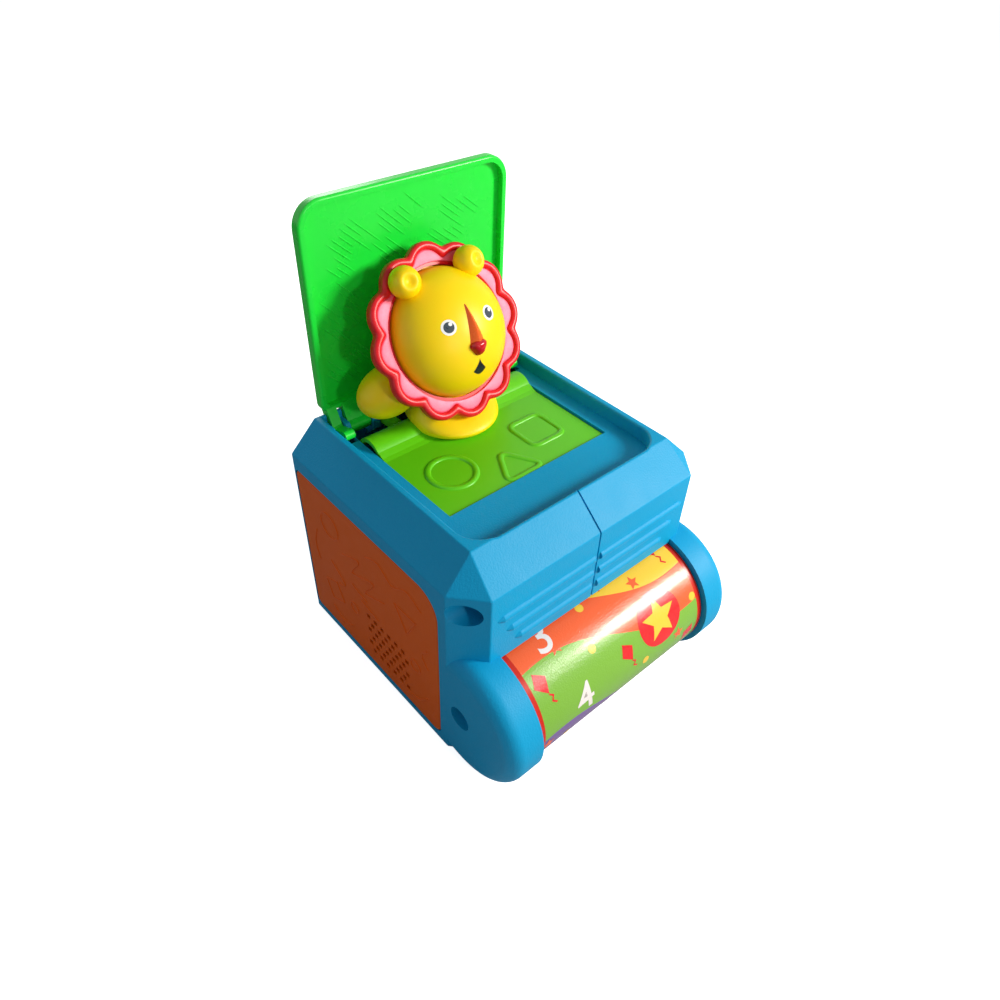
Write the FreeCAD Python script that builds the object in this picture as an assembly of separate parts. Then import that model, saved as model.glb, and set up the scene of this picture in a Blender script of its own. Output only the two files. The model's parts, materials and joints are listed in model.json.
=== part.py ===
"""Pop-up animal toy: a moulded box with a hinged lid, a lion on a trap flap and a roller.

Frame: millimetres, +Z up, +X to the object's right, the roller side faces -Y. The origin is
on the floor, midway between the side walls and midway between the front and rear faces.
"""
import FreeCAD, Part
import math
import os

os.makedirs("parts", exist_ok=True)
V = FreeCAD.Vector

# Housing
body_width = 130.0
body_depth = 116.0
body_height = 106.0
wall = 2.4
side_wall = 4.2
side_chamfer_x = 12.7
side_chamfer_z = 12.5
front_chamfer_y = 14.2
front_chamfer_z = 12.0
corner_x = 10.8
corner_y = 12.5
edge_round = 1.2
groove_width = 0.8
groove_depth = 0.7
rib_radius = 2.0
rib_proud = 1.2
rib_drops = (25.0, 32.8, 40.4)
rib_reaches = (48.5, 44.0, 39.5)
rib_inner_end = 1.6

# Well in the top, and the mouth in its floor
well_width = 99.2
well_front_inset = 15.0
well_depth = 6.4
well_corner = 11.0
well_rim_round = 1.0
well_floor_thickness = 2.0
mouth_width = 84.4
mouth_front_inset = 38.2
mouth_gap = 0.6

# Hinge line shared by the lid and the figure
hinge_inset = 5.0
hinge_drop = 7.5
hinge_pin_radius = 1.5
pin_fit = 0.06
knuckle_radius = 3.4
figure_knuckle_radius = 3.2
knuckle_clearance = 0.5
hinge_gap = 0.4
figure_arm_spans = ((9.0, 12.5), (22.0, 25.6))
inner_seat = (26.0, 29.6)
middle_seat_width = 2.1
outer_seat_width = 3.4
finger_width = 4.4
outer_seat_inset = 2.0
notch_reach = 12.5
notch_drop = 6.0

# Lid
lid_gap = 0.6
lid_thickness = 5.0
lid_skin = 1.9
lid_lip = 2.6
lid_corner = 10.5
lid_round = 1.2
lid_bottom_gap = 1.0
lid_stroke_width = 1.6
lid_stroke_proud = 0.5

# Trap flap with its hump
flap_drop = 7.4
flap_thickness = 1.8
hump_inset = 24.5
hump_radius = 8.2
hump_drop = 11.0
hump_wall = 1.8
outline_width = 1.7
outline_proud = 0.5

# Lion
head_tilt = 29.0
head_forward = 19.0
head_rise = 32.2
mane_radius = 36.0
mane_lobes = 12
lobe_radius = 9.7
mane_thickness = 4.4
mane_rim = 2.6
mane_round = 1.2
notch_round = 2.0
inlay_notch_round = 1.0
insert_thickness = 1.0
insert_sink = 0.9
insert_core = 29.0
insert_gap = 0.15
face_radius = 26.0
face_depth = 19.5
nape_radius = 31.5
nape_depth = 12.0
lion_wall = 2.0
face_gap = 1.0
ear_radius = 5.8
ear_spread = 14.5
ear_forward = -6.1
ear_rise = 23.3
nose_top = 8.6
nose_low = -5.0
nose_half = 3.7
nose_proud = 2.2
foot_forward = 41.5
torso_radius = 20.5
torso_rear_lift = 5.0
arm_half_length = 13.0
arm_radius = 10.3
arm_lean = 12.0
arm_offset = 24.0
arm_forward = 13.0
arm_rise = 18.4

# Roller
roller_inset = 4.5
roller_height = 29.5
roller_radius = 29.0
cheek_width = 15.6
roller_wall = 2.2
ring_width = 2.6
label_thickness = 0.3
pocket_gap = 0.7
pocket_end_gap = 0.7
pocket_wall = 2.2
cheek_radius = 31.5
cheek_round = 6.5
axle_radius = 3.0
axle_end_wall = 1.0
axle_recess_left = 8.0
axle_recess_right = 5.0
axle_cap_radius = 3.6
axle_cap_thickness = 1.6
hub_radius = 6.0
hub_clearance = 0.6
bush_length = 6.0
bush_wall = 1.6
spoke_count = 6
spigot_fit = 0.15

# Roller gearing in the right cheek
gear_module = 1.0
pinion_teeth = 16
cam_gear_teeth = 32
gear_width = 4.0
gear_backlash = 0.25
mesh_gap = 0.25
cam_gear_angle = 30.0
cam_radius = 12.0
cam_width = 2.4
cam_hub_radius = 5.0
gear_shaft_radius = 2.0
gear_post_wall = 2.0

# Latch
latch_thickness = 3.6
latch_gap = 0.3
latch_cheek = 2.6
latch_pin_radius = 1.2
latch_pin_overhang = 2.0
latch_pivot_forward = 8.0
latch_pivot_drop = 22.5
latch_hub_radius = 3.2
latch_hook_rise = 15.5
latch_tail_drop = 16.0
latch_tail_half = 1.5
finger_length = 10.0
finger_angle = 160.0
finger_radius = 2.0
rod_section = 3.0
rod_thickness = 2.4
rod_travel = 5.3
rod_gap = 0.4
cam_gap = 1.0
guide_setbacks = (2.0, 26.0)
guide_length = 4.0
guide_wall = 1.8

# Side panels and grille
panel_recess = 1.8
panel_gap = 0.35
panel_front_inset = 17.0
panel_rear_inset = 1.6
panel_bottom = 3.2
panel_top_drop = 19.3
panel_corner = 12.0
panel_round = 0.6
grille_hole = 2.4
grille_pitch = 5.0
grille_rows = 6
grille_columns = 6
grille_setback = -5.0
grille_height = 23.5

# Speaker
speaker_radius = 15.0
speaker_depth = 9.0
magnet_radius = 8.0
magnet_depth = 6.0

# Screws that join the two halves
screw_recess_radius = 5.4
screw_boss_wall = 1.6
screw_shank_radius = 1.5
screw_head_radius = 2.9
screw_head_height = 2.2
screw_length = 37.0
screw_seat = 31.0
screw_clearance = 0.3
screw_post_radius = 5.4
screw_post_end = 24.0
screw_hole_end = 14.0
screw_tube_end = 29.4

# Battery compartment
cell_radius = 7.1
cell_length = 50.0
cell_pitch = 15.6
cells = 3
tray_wall = 1.6
cell_clearance = 0.6
door_thickness = 2.0
door_gap = 0.4
door_tongue = 10.0
tray_inset = 37.0

# Circuit board and switches
board_thickness = 1.6
board_width = 56.0
board_depth = 34.0
switch_offset = 24.0
switch_height = 36.0
switch_travel = 4.0
knob_width = 5.0
knob_height = 4.0

# Sizes that follow from the ones above
half_width = body_width / 2
front = -body_depth / 2
rear = body_depth / 2
hinge_y = rear - hinge_inset
hinge_z = body_height - hinge_drop
well_floor = body_height - well_depth
well_front = front + well_front_inset
mouth_front = front + mouth_front_inset
flap_top = body_height - flap_drop
flap_half = mouth_width / 2 - mouth_gap
flap_front = mouth_front + mouth_gap
hump_y = rear - hump_inset
hump_z = body_height - hump_drop
roller_y = front + roller_inset
pocket_radius = roller_radius + pocket_gap
pocket_half = half_width - cheek_width
roller_length = 2 * (pocket_half - pocket_end_gap)
axle_left_end = half_width - axle_recess_left - axle_end_wall
axle_right_end = half_width - axle_recess_right - axle_end_wall
lid_inner = hinge_y + body_height - lid_thickness - hinge_z
lid_outer = hinge_y + body_height - hinge_z
lid_bottom = body_height + lid_bottom_gap
lid_top = hinge_z + (hinge_y - well_front) - lid_gap
lid_half = well_width / 2 - lid_gap
well_half = well_width / 2
outer_seat_x = well_half - outer_seat_inset
finger_span = (outer_seat_x - hinge_gap - finger_width, outer_seat_x - hinge_gap)
middle_seat_x = finger_span[0] - hinge_gap - middle_seat_width
lid_hub_span = (inner_seat[1] + hinge_gap, middle_seat_x - hinge_gap)
seat_spans = (inner_seat, (middle_seat_x, middle_seat_x + middle_seat_width),
              (outer_seat_x, outer_seat_x + outer_seat_width))
notch_spans = ((inner_seat[1], middle_seat_x), (middle_seat_x + middle_seat_width, outer_seat_x))
pin_half_length = well_half
latch_middle = finger_span[1] + 0.3
latch_pivot_setback = hinge_y - latch_pivot_forward
latch_pivot_height = hinge_z - latch_pivot_drop
head_setback = hinge_y - head_forward
head_height = body_height + head_rise
foot_front = hinge_y - foot_forward
arm_setback = hinge_y - arm_forward
arm_height = flap_top + arm_rise
panel_top = body_height - panel_top_drop
tray_setback = rear - tray_inset


def box(x0, x1, y0, y1, z0, z1):
    return Part.makeBox(x1 - x0, y1 - y0, z1 - z0, V(x0, y0, z0))


def rod(radius, x0, x1, y, z):
    return Part.makeCylinder(radius, x1 - x0, V(x0, y, z), V(1, 0, 0))


def tube(outer, inner, x0, x1, y, z):
    return rod(outer, x0, x1, y, z).cut(rod(inner, x0 - 1, x1 + 1, y, z))


def prism(points, direction):
    wire = Part.makePolygon(points + [points[0]])
    return Part.Face(wire).extrude(direction)


def side_prism(outline, x0, x1):
    """A solid between two X planes from an outline of (y, z) points."""
    return prism([V(x0, y, z) for y, z in outline], V(x1 - x0, 0, 0))


def mirror(shape):
    return shape.mirror(V(0, 0, 0), V(1, 0, 0))


def both_sides(shape):
    return [shape, mirror(shape)]


def rounded_rectangle(x0, x1, y0, y1, z, radii):
    """Face in a Z plane; radii run from the low corner counter-clockwise."""
    corners = [(x0, y0, 1, 0), (x1, y0, 0, 1), (x1, y1, -1, 0), (x0, y1, 0, -1)]
    edges = []
    starts = []
    ends = []
    for (cx, cy, ax, ay), radius in zip(corners, radii):
        bx, by = -ay, ax
        before = V(cx + bx * radius, cy + by * radius, z)
        after = V(cx + ax * radius, cy + ay * radius, z)
        centre = V(cx + (ax + bx) * radius, cy + (ay + by) * radius, z)
        starts.append(before)
        ends.append(after)
        if radius > 0:
            toward = V(cx, cy, z).sub(centre)
            middle = centre.add(toward.normalize().multiply(radius))
            edges.append(Part.Arc(before, middle, after).toShape())
    for index in range(4):
        edges.append(Part.LineSegment(ends[index], starts[(index + 1) % 4]).toShape())
    return Part.Face(Part.Wire(Part.__sortEdges__(edges)))


def rounded_block(x0, x1, y0, y1, z0, z1, radii):
    return rounded_rectangle(x0, x1, y0, y1, z0, radii).extrude(V(0, 0, z1 - z0))


def side_plate(x0, x1, y0, y1, z0, z1, radii):
    """Rounded plate lying in the side wall: its outline is in Y and Z."""
    flat = rounded_block(y0, y1, z0, z1, 0, x1 - x0, radii)
    flat.rotate(V(0, 0, 0), V(0, 0, 1), 90)
    flat.rotate(V(0, 0, 0), V(0, 1, 0), 90)
    flat.translate(V(x0, 0, 0))
    return flat


def keep_behind(shape, point, normal):
    """Cut away what lies on the far side of a plane."""
    size = 4 * body_width
    away = Part.makeBox(2 * size, 2 * size, size, V(-size, -size, 0))
    turn = FreeCAD.Rotation(V(0, 0, 1), normal)
    away = away.transformed(FreeCAD.Placement(point, turn).toMatrix())
    return shape.cut(away)


def faceted_box(inset, side_inset, floor):
    """The bevelled box, moved inwards by the insets."""
    shape = box(-half_width + side_inset, half_width - side_inset,
                front + inset, rear - inset, floor, body_height - inset)
    front_normal = V(0, -front_chamfer_z, front_chamfer_y).normalize()
    front_point = V(0, front, body_height - front_chamfer_z).sub(front_normal * inset)
    shape = keep_behind(shape, front_point, front_normal)
    for side in (-1, 1):
        side_normal = V(side * side_chamfer_z, 0, side_chamfer_x).normalize()
        side_point = V(side * half_width, 0, body_height - side_chamfer_z)
        shape = keep_behind(shape, side_point.sub(side_normal * inset), side_normal)
        edge_point = V(side * (half_width - corner_x), front, 0)
        edge_normal = V(side * corner_y, -corner_x, 0).normalize()
        shape = keep_behind(shape, edge_point.sub(edge_normal * inset), edge_normal)
        peak = V(side * (half_width - side_chamfer_x), front + front_chamfer_y, body_height)
        low_front = V(side * (half_width - corner_x), front, body_height - front_chamfer_z)
        low_side = V(side * half_width, front + corner_y, body_height - side_chamfer_z)
        facet = low_front.sub(peak).cross(low_side.sub(peak)).normalize()
        if facet.z < 0:
            facet = facet * -1
        shape = keep_behind(shape, peak.sub(facet * inset), facet)
    return shape


def cheek_puck(radius, inner_x, outer_x, round_off):
    """Disc about the roller line whose outer edge is rounded."""
    corner = V(outer_x - round_off * (1 - math.sqrt(0.5)), 0,
               radius - round_off * (1 - math.sqrt(0.5)))
    edges = [
        Part.LineSegment(V(inner_x, 0, 0), V(inner_x, 0, radius)).toShape(),
        Part.LineSegment(V(inner_x, 0, radius), V(outer_x - round_off, 0, radius)).toShape(),
        Part.Arc(V(outer_x - round_off, 0, radius), corner,
                 V(outer_x, 0, radius - round_off)).toShape(),
        Part.LineSegment(V(outer_x, 0, radius - round_off), V(outer_x, 0, 0)).toShape(),
        Part.LineSegment(V(outer_x, 0, 0), V(inner_x, 0, 0)).toShape(),
    ]
    puck = Part.Face(Part.Wire(edges)).revolve(V(0, 0, 0), V(1, 0, 0), 360)
    puck.translate(V(0, roller_y, roller_height))
    return puck


screw_places = [(front + 7.5, body_height - 21.0), (rear - 6.4, 9.5), (-21.0, 7.6)]
cam_gear_distance = gear_module * (pinion_teeth + cam_gear_teeth) / 2 + mesh_gap
cam_gear_y = roller_y + cam_gear_distance * math.cos(math.radians(cam_gear_angle))
cam_gear_z = roller_height + cam_gear_distance * math.sin(math.radians(cam_gear_angle))
gear_x0 = pocket_half + pocket_wall + 1.6
gear_x1 = gear_x0 + gear_width
tray_half = cell_length / 2 + cell_clearance + tray_wall + 2.0
tray_inner = tray_half - tray_wall
tray_front = tray_setback - cells * cell_pitch / 2 - tray_wall
tray_rear = tray_setback + cells * cell_pitch / 2 + tray_wall
tray_top = wall + 2 * cell_radius + cell_clearance + tray_wall + 1.0
door_front = tray_front - door_tongue
latch_x0 = latch_middle - latch_thickness / 2
latch_x1 = latch_middle + latch_thickness / 2
rod_x0 = gear_x1 + latch_gap
rod_x1 = rod_x0 + rod_thickness
rod_low = latch_pivot_height - latch_tail_drop + 0.5
rod_front = cam_gear_y + cam_radius + cam_gap + rod_travel
rod_rear = latch_pivot_setback - latch_tail_half - rod_gap


def soften(shape, radius, chosen):
    """Round the edges that the test picks."""
    return shape.makeFillet(radius, [edge for edge in shape.Edges if chosen(edge)])


def rounded_case():
    """The bevelled box with every edge but those of its underside rounded."""
    return soften(faceted_box(0, 0, 0), edge_round,
                  lambda edge: edge.BoundBox.ZMax > 1)


def well_cutter(case):
    """What the well takes out of the box, with a rounded rim and floor edge."""
    recess = rounded_block(-well_width / 2, well_width / 2, well_front, rear - wall,
                           well_floor, body_height + 10, [well_corner, well_corner, 0, 0])
    left_over = case.cut(recess)
    side = well_width / 2 + 0.1

    def on_rim(edge):
        bounds = edge.BoundBox
        return (bounds.ZMin > body_height - 0.01 and abs(bounds.XMin) < side
                and abs(bounds.XMax) < side and bounds.YMax < rear - wall + 0.01)

    return case.cut(soften(left_over, well_rim_round, on_rim))


def make_housing():
    case = rounded_case()
    outer = case
    for puck in both_sides(cheek_puck(cheek_radius, pocket_half, half_width, cheek_round)):
        outer = outer.fuse(puck)
    outer = outer.cut(box(-body_width, body_width, -body_depth, body_depth, -body_height, 0))
    cavity = faceted_box(wall, side_wall, wall)
    hollow = cheek_puck(cheek_radius - wall, pocket_half, half_width - side_wall + 1.2, 4.5)
    for puck in both_sides(hollow):
        cavity = cavity.fuse(puck)
    cavity = cavity.cut(box(-body_width, body_width, -body_depth, body_depth,
                            -body_height, wall))
    shell = outer.cut(cavity)
    drum = rod(pocket_radius + pocket_wall, -pocket_half - pocket_wall,
               pocket_half + pocket_wall, roller_y, roller_height).common(outer)
    shell = shell.fuse(drum)
    tray = box(-well_width / 2 - wall, well_width / 2 + wall, well_front - wall, rear - wall,
               well_floor - well_floor_thickness, body_height).common(case)
    shell = shell.fuse(tray)
    shell = shell.fuse(screw_bosses(outer))
    shell = shell.cut(rod(pocket_radius, -pocket_half, pocket_half, roller_y, roller_height))
    shell = shell.cut(box(-pocket_half, pocket_half, 2 * front, roller_y - 3,
                          -1, roller_height + 24))
    shell = shell.cut(box(-pocket_half, pocket_half, 2 * front, roller_y + 18, -1, 12))
    shell = shell.cut(well_cutter(case))
    shell = shell.cut(box(-mouth_width / 2, mouth_width / 2, mouth_front, rear - wall,
                          well_floor - 10, body_height))
    return finish_housing(shell)


def screw_bosses(outer):
    """Posts round the three long screws; the one in the front corner has an open recess."""
    posts = []
    for y, z in screw_places:
        posts.append(rod(screw_recess_radius + screw_boss_wall, -half_width, -screw_tube_end,
                         y, z))
        posts.append(rod(screw_post_radius, -screw_seat, screw_post_end, y, z))
    joined = posts[0].multiFuse(posts[1:])
    return joined.common(outer)


def hinge_seats():
    """Blocks on the rear wall that carry the hinge pin."""
    seats = []
    for x0, x1 in seat_spans:
        profile = [(rear - 0.01, hinge_z - 12), (rear - 0.01, hinge_z + 4.2),
                   (hinge_y - 3.0, hinge_z + 4.2), (hinge_y - 4.2, hinge_z + 2.4),
                   (hinge_y - 4.2, hinge_z - 3.6)]
        seat = side_prism(profile, x0, x1)
        seats += both_sides(seat)
    return seats


def finish_housing(shell):
    """Hinge notches and seats, ribs, groove, panel recesses and openings."""
    for x0, x1 in notch_spans:
        notch = box(x0, x1, hinge_y - notch_reach, rear + 1, hinge_z - notch_drop,
                    body_height + 1)
        for piece in both_sides(notch):
            shell = shell.cut(piece)
    shell = shell.cut(rod(figure_knuckle_radius + knuckle_clearance, -inner_seat[0] + 0.1, inner_seat[0] - 0.1,
                          hinge_y, hinge_z))
    shell = shell.multiFuse(hinge_seats())
    shell = shell.cut(rod(hinge_pin_radius + pin_fit, -pin_half_length, pin_half_length,
                          hinge_y, hinge_z))
    ribs = []
    for drop, reach in zip(rib_drops, rib_reaches):
        height = body_height - drop
        axis_y = front + rib_radius - rib_proud
        bar = rod(rib_radius, rib_inner_end, reach, axis_y, height)
        tip = Part.makeCone(rib_radius, 0.6, 3.2, V(reach, axis_y, height), V(1, 0, 0))
        ribs += both_sides(bar)
        ribs += both_sides(tip)
    keep = box(-half_width, half_width, front - 5, front + wall, 0, body_height)
    shell = shell.fuse(ribs[0].multiFuse(ribs[1:]).common(keep))
    groove = box(-groove_width / 2, groove_width / 2, front - 5, rear + 5, -1,
                 body_height + 5)
    core = faceted_box(groove_depth, groove_depth, groove_depth)
    shell = shell.cut(groove.cut(core))
    recess = side_plate(half_width - panel_recess, half_width + 1,
                        front + panel_front_inset, rear - panel_rear_inset,
                        panel_bottom, panel_top,
                        [4.0, 3.0, 3.0, panel_corner])
    for piece in both_sides(recess):
        shell = shell.cut(piece)
    for y, z in screw_places:
        shell = shell.cut(rod(screw_shank_radius + screw_clearance, -half_width, 0, y, z))
        shell = shell.cut(rod(screw_shank_radius + pin_fit, -1, screw_hole_end, y, z))
        shell = shell.cut(rod(screw_recess_radius, -half_width - 1, -screw_seat, y, z))
    return add_inner_features(axle_seats(shell))


def axle_seats(shell):
    """Recesses in the cheeks and the seats behind them that hold the axle's ends."""
    inner = pocket_half + pocket_wall
    bottom = half_width - axle_recess_left
    seats = [mirror(rod(axle_radius + screw_boss_wall, inner, bottom, roller_y, roller_height))]
    for side, depth in ((-1, axle_recess_left), (1, axle_recess_right)):
        cup = rod(screw_recess_radius + wall, half_width - depth - wall,
                  half_width - side_wall + 2, roller_y, roller_height)
        seats.append(cup if side > 0 else mirror(cup))
    shell = shell.multiFuse(seats)
    for side, depth in ((-1, axle_recess_left), (1, axle_recess_right)):
        recess = rod(screw_recess_radius, half_width - depth, half_width + 1,
                     roller_y, roller_height)
        shell = shell.cut(recess if side > 0 else mirror(recess))
    shell = shell.cut(rod(axle_radius + pin_fit, -axle_left_end, axle_right_end,
                          roller_y, roller_height))
    return shell.cut(rod(hub_radius + hub_clearance, pocket_half - 1, inner + 0.8,
                         roller_y, roller_height))


def add_inner_features(shell):
    """Gear shaft seat, speaker ring, latch posts, rod guides, battery and switch openings."""
    post = rod(gear_shaft_radius + gear_post_wall, gear_x1 + cam_width + 0.6, half_width - 2.5,
               cam_gear_y, cam_gear_z)
    foot = rod(gear_shaft_radius + gear_post_wall, pocket_half + pocket_wall - 1.5,
               gear_x0 - 0.5, cam_gear_y, cam_gear_z)
    shell = shell.multiFuse([post, foot])
    shell = shell.cut(rod(gear_shaft_radius + pin_fit, pocket_half + 0.6, half_width - 4.5,
                          cam_gear_y, cam_gear_z))
    ring_outer = speaker_radius + 1.8
    ring = tube(ring_outer, speaker_radius + 0.3, -half_width + side_wall - 0.6,
                -half_width + side_wall + 4.0, grille_setback, grille_height)
    shell = shell.fuse(ring)
    shell = shell.cut(rod(speaker_radius - 2.5, -half_width, -half_width + side_wall + 1,
                          grille_setback, grille_height))
    for x0, x1 in ((latch_x0 - latch_gap - latch_cheek, latch_x0 - latch_gap),
                   (latch_x1 + latch_gap, latch_x1 + latch_gap + latch_cheek)):
        cheek = side_prism([(latch_pivot_setback - 3.2, latch_pivot_height - 4),
                            (latch_pivot_setback - 3.2, latch_pivot_height + 4),
                            (rear - 1, latch_pivot_height + 7),
                            (rear - 1, latch_pivot_height - 7)], x0, x1)
        shell = shell.fuse(cheek)
    shell = shell.cut(rod(latch_pin_radius + pin_fit, latch_x0 - latch_pin_overhang,
                          latch_x1 + latch_pin_overhang, latch_pivot_setback,
                          latch_pivot_height))
    for setback in guide_setbacks:
        guide = box(rod_x0 - latch_gap, half_width - side_wall + 0.5, setback,
                    setback + guide_length, rod_low - latch_gap - guide_wall,
                    rod_low + rod_section + latch_gap + guide_wall)
        slot = box(rod_x0 - 1, rod_x1 + latch_gap, setback - 1, setback + guide_length + 1,
                   rod_low - latch_gap, rod_low + rod_section + latch_gap)
        shell = shell.fuse(guide.cut(slot))
    shell = shell.cut(box(-tray_inner, tray_inner, door_front, tray_rear - tray_wall,
                          -1, wall + 1))
    ledge = box(-tray_inner, tray_inner, door_front - 2.5, door_front + 1.5,
                door_thickness + 0.2, wall + 2.0)
    shell = shell.fuse(ledge)
    shell = shell.cut(box(switch_offset - knob_width / 2 - switch_travel / 2 - 0.5,
                          switch_offset + knob_width / 2 + switch_travel / 2 + 0.5,
                          rear - wall - 1, rear + 1,
                          switch_height - knob_height / 2 - 0.4,
                          switch_height + knob_height / 2 + 0.4))
    return shell


def split_housing():
    whole = make_housing()
    left = whole.common(box(-body_width, 0, -body_depth, body_depth, -1, 2 * body_height))
    right = whole.common(box(0, body_width, -body_depth, body_depth, -1, 2 * body_height))
    return {"housing_left": left, "housing_right": right}


def make_panels():
    plate = side_plate(half_width - panel_recess + 0.1, half_width,
                       front + panel_front_inset + panel_gap,
                       rear - panel_rear_inset - panel_gap,
                       panel_bottom + panel_gap, panel_top - panel_gap,
                       [4.0, 3.0, 3.0, panel_corner])
    plate = soften(plate, panel_round, lambda edge: edge.BoundBox.XMin > half_width - 0.01)
    left = mirror(plate)
    holes = []
    half = grille_hole / 2
    for row in range(grille_rows):
        for column in range(grille_columns):
            shift = 0.5 * (row % 2)
            y = grille_setback + (column + shift - grille_columns / 2 + 0.25) * grille_pitch
            z = grille_height + (row - (grille_rows - 1) / 2) * grille_pitch * 0.866
            holes.append(box(-half_width - 1, -half_width + 3, y - half, y + half,
                             z - half, z + half))
    left = left.cut(holes[0].multiFuse(holes[1:]))
    return {"side_panel_left": left, "side_panel_right": plate}


def make_lid():
    block = rounded_block(-lid_half, lid_half, lid_bottom, lid_top, -lid_outer, -lid_inner,
                          [4.0, 4.0, lid_corner, lid_corner])
    block = soften(block, lid_round, lambda edge: edge.BoundBox.ZLength < 1e-6)
    block.rotate(V(0, 0, 0), V(1, 0, 0), 90)
    floor = -lid_outer + lid_skin
    pocket = rounded_block(-lid_half + lid_lip, lid_half - lid_lip, lid_bottom + lid_lip,
                           lid_top - lid_lip, floor, -lid_inner + 1,
                           [3.0, 3.0, lid_corner - lid_lip, lid_corner - lid_lip])
    pocket.rotate(V(0, 0, 0), V(1, 0, 0), 90)
    lid = block.cut(pocket)
    lid = lid.multiFuse(lid_strokes())
    tabs = []
    for x0, x1 in (lid_hub_span, finger_span):
        web = side_prism([(hinge_y + 3.2, hinge_z), (lid_outer - 0.5, lid_bottom + 0.5),
                          (lid_outer - 0.5, lid_bottom + 2.0), (lid_inner, lid_bottom + 2.0),
                          (hinge_y - 1.0, hinge_z + 3.4), (hinge_y, hinge_z)], x0, x1)
        hub = rod(knuckle_radius, x0, x1, hinge_y, hinge_z)
        tabs += both_sides(web)
        tabs += both_sides(hub)
    angle = math.radians(finger_angle)
    tip = (hinge_y + finger_length * math.cos(angle), hinge_z + finger_length * math.sin(angle))
    across = (-math.sin(angle) * finger_radius, math.cos(angle) * finger_radius)
    arm = side_prism([(hinge_y + across[0], hinge_z + across[1]),
                      (hinge_y - across[0], hinge_z - across[1]),
                      (tip[0] - across[0], tip[1] - across[1]),
                      (tip[0] + across[0], tip[1] + across[1])], *finger_span)
    nose = rod(finger_radius, *finger_span, tip[0], tip[1])
    tabs += both_sides(arm)
    tabs += both_sides(nose)
    lid = lid.multiFuse(tabs)
    bore = rod(hinge_pin_radius + pin_fit, -half_width, half_width, hinge_y, hinge_z)
    return {"lid": lid.cut(bore).removeSplitter()}


def lid_strokes():
    """Short raised strokes scattered on the inside of the lid."""
    # The lower ones keep their place over the lid's foot, the upper ones under its top
    lower = [(-34, 15, 14, 40), (-26, 24, 10, 40), (-36, 41, 12, 40), (34, 49, 12, 40),
             (30, 29, 10, 42), (38, 15, 12, 40)]
    upper = [(-12, 29.9, 12, 38), (-30, 21.9, 14, 42), (4, 15.9, 10, 40), (22, 23.9, 14, 38),
             (-38, 7.9, 9, 40), (18, 9.9, 10, 40)]
    lid_height = lid_top - lid_bottom
    lower += [(x, lid_height - drop, length, lean) for x, drop, length, lean in upper]
    floor = lid_outer - lid_skin
    strokes = []
    for x, rise, length, lean in lower:
        bar = box(-length / 2, length / 2, floor - lid_stroke_proud, floor + 0.4,
                  -lid_stroke_width / 2, lid_stroke_width / 2)
        bar.rotate(V(0, floor, 0), V(0, 1, 0), -lean)
        bar.translate(V(x, 0, lid_bottom + rise))
        strokes.append(bar)
    return strokes


def make_flap():
    plate = box(-flap_half, flap_half, flap_front, hump_y, flap_top - flap_thickness, flap_top)
    foot = math.sqrt(hump_radius ** 2 - (flap_top - hump_z) ** 2)
    arch = rod(hump_radius, -flap_half, flap_half, hump_y, hump_z)
    arch = arch.cut(box(-body_width, body_width, hump_y - 20, hump_y + 20,
                        hump_z - 20, flap_top - flap_thickness))
    slope = side_prism([(hump_y - foot - 4.5, flap_top - 0.2), (hump_y - foot + 1.2, flap_top - 0.2),
                        (hump_y - foot + 1.2, flap_top + 1.9), (hump_y - foot - 1.6, flap_top + 0.55)],
                       -flap_half, flap_half)
    flap = plate.fuse(arch).fuse(slope)
    flap = flap.cut(rod(hump_radius - hump_wall, -flap_half - 1, flap_half + 1, hump_y, hump_z))
    arms = []
    for x0, x1 in figure_arm_spans:
        web = side_prism([(hump_y + 5.6, flap_top - 0.9), (hump_y + 5.2, flap_top + 3.0),
                          (hinge_y, hinge_z + 3.2), (hinge_y, hinge_z - 2.2)], x0, x1)
        arms += both_sides(web)
        arms += both_sides(rod(figure_knuckle_radius, x0, x1, hinge_y, hinge_z))
    flap = flap.multiFuse(arms)
    flap = flap.multiFuse(flap_outlines())
    flap = flap.cut(rod(hinge_pin_radius + pin_fit, -half_width, half_width, hinge_y, hinge_z))
    return {"trap_flap": flap.removeSplitter()}


def flap_outlines():
    """Raised outlines of a circle, a triangle and a square."""
    low = flap_top - 0.3
    high = flap_top + outline_proud
    shapes = []
    ring = Part.makeCylinder(10.6, high - low, V(-24.5, 1.0, low))
    shapes.append(ring.cut(Part.makeCylinder(10.6 - outline_width, 3, V(-24.5, 1.0, low - 1))))
    for centre, radius, sides, phase in (((-1.6, -12.2), 12.6, 3, 90), ((21.5, 1.2), 13.0, 4, 45)):
        def outline(reach):
            return [V(centre[0] + reach * math.cos(math.radians(phase + 360 * k / sides)),
                      centre[1] + reach * math.sin(math.radians(phase + 360 * k / sides)), low)
                    for k in range(sides)]
        outer = prism(outline(radius), V(0, 0, high - low))
        shift = outline_width / math.cos(math.pi / sides)
        inner = prism(outline(radius - shift), V(0, 0, 3))
        shapes.append(outer.cut(inner))
    return shapes


def in_head(shape):
    """Carry a shape from the head's own frame (front is -Y, centre at 0) to its place."""
    shape.rotate(V(0, 0, 0), V(1, 0, 0), -head_tilt)
    shape.translate(V(0, head_setback, head_height))
    return shape


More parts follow.
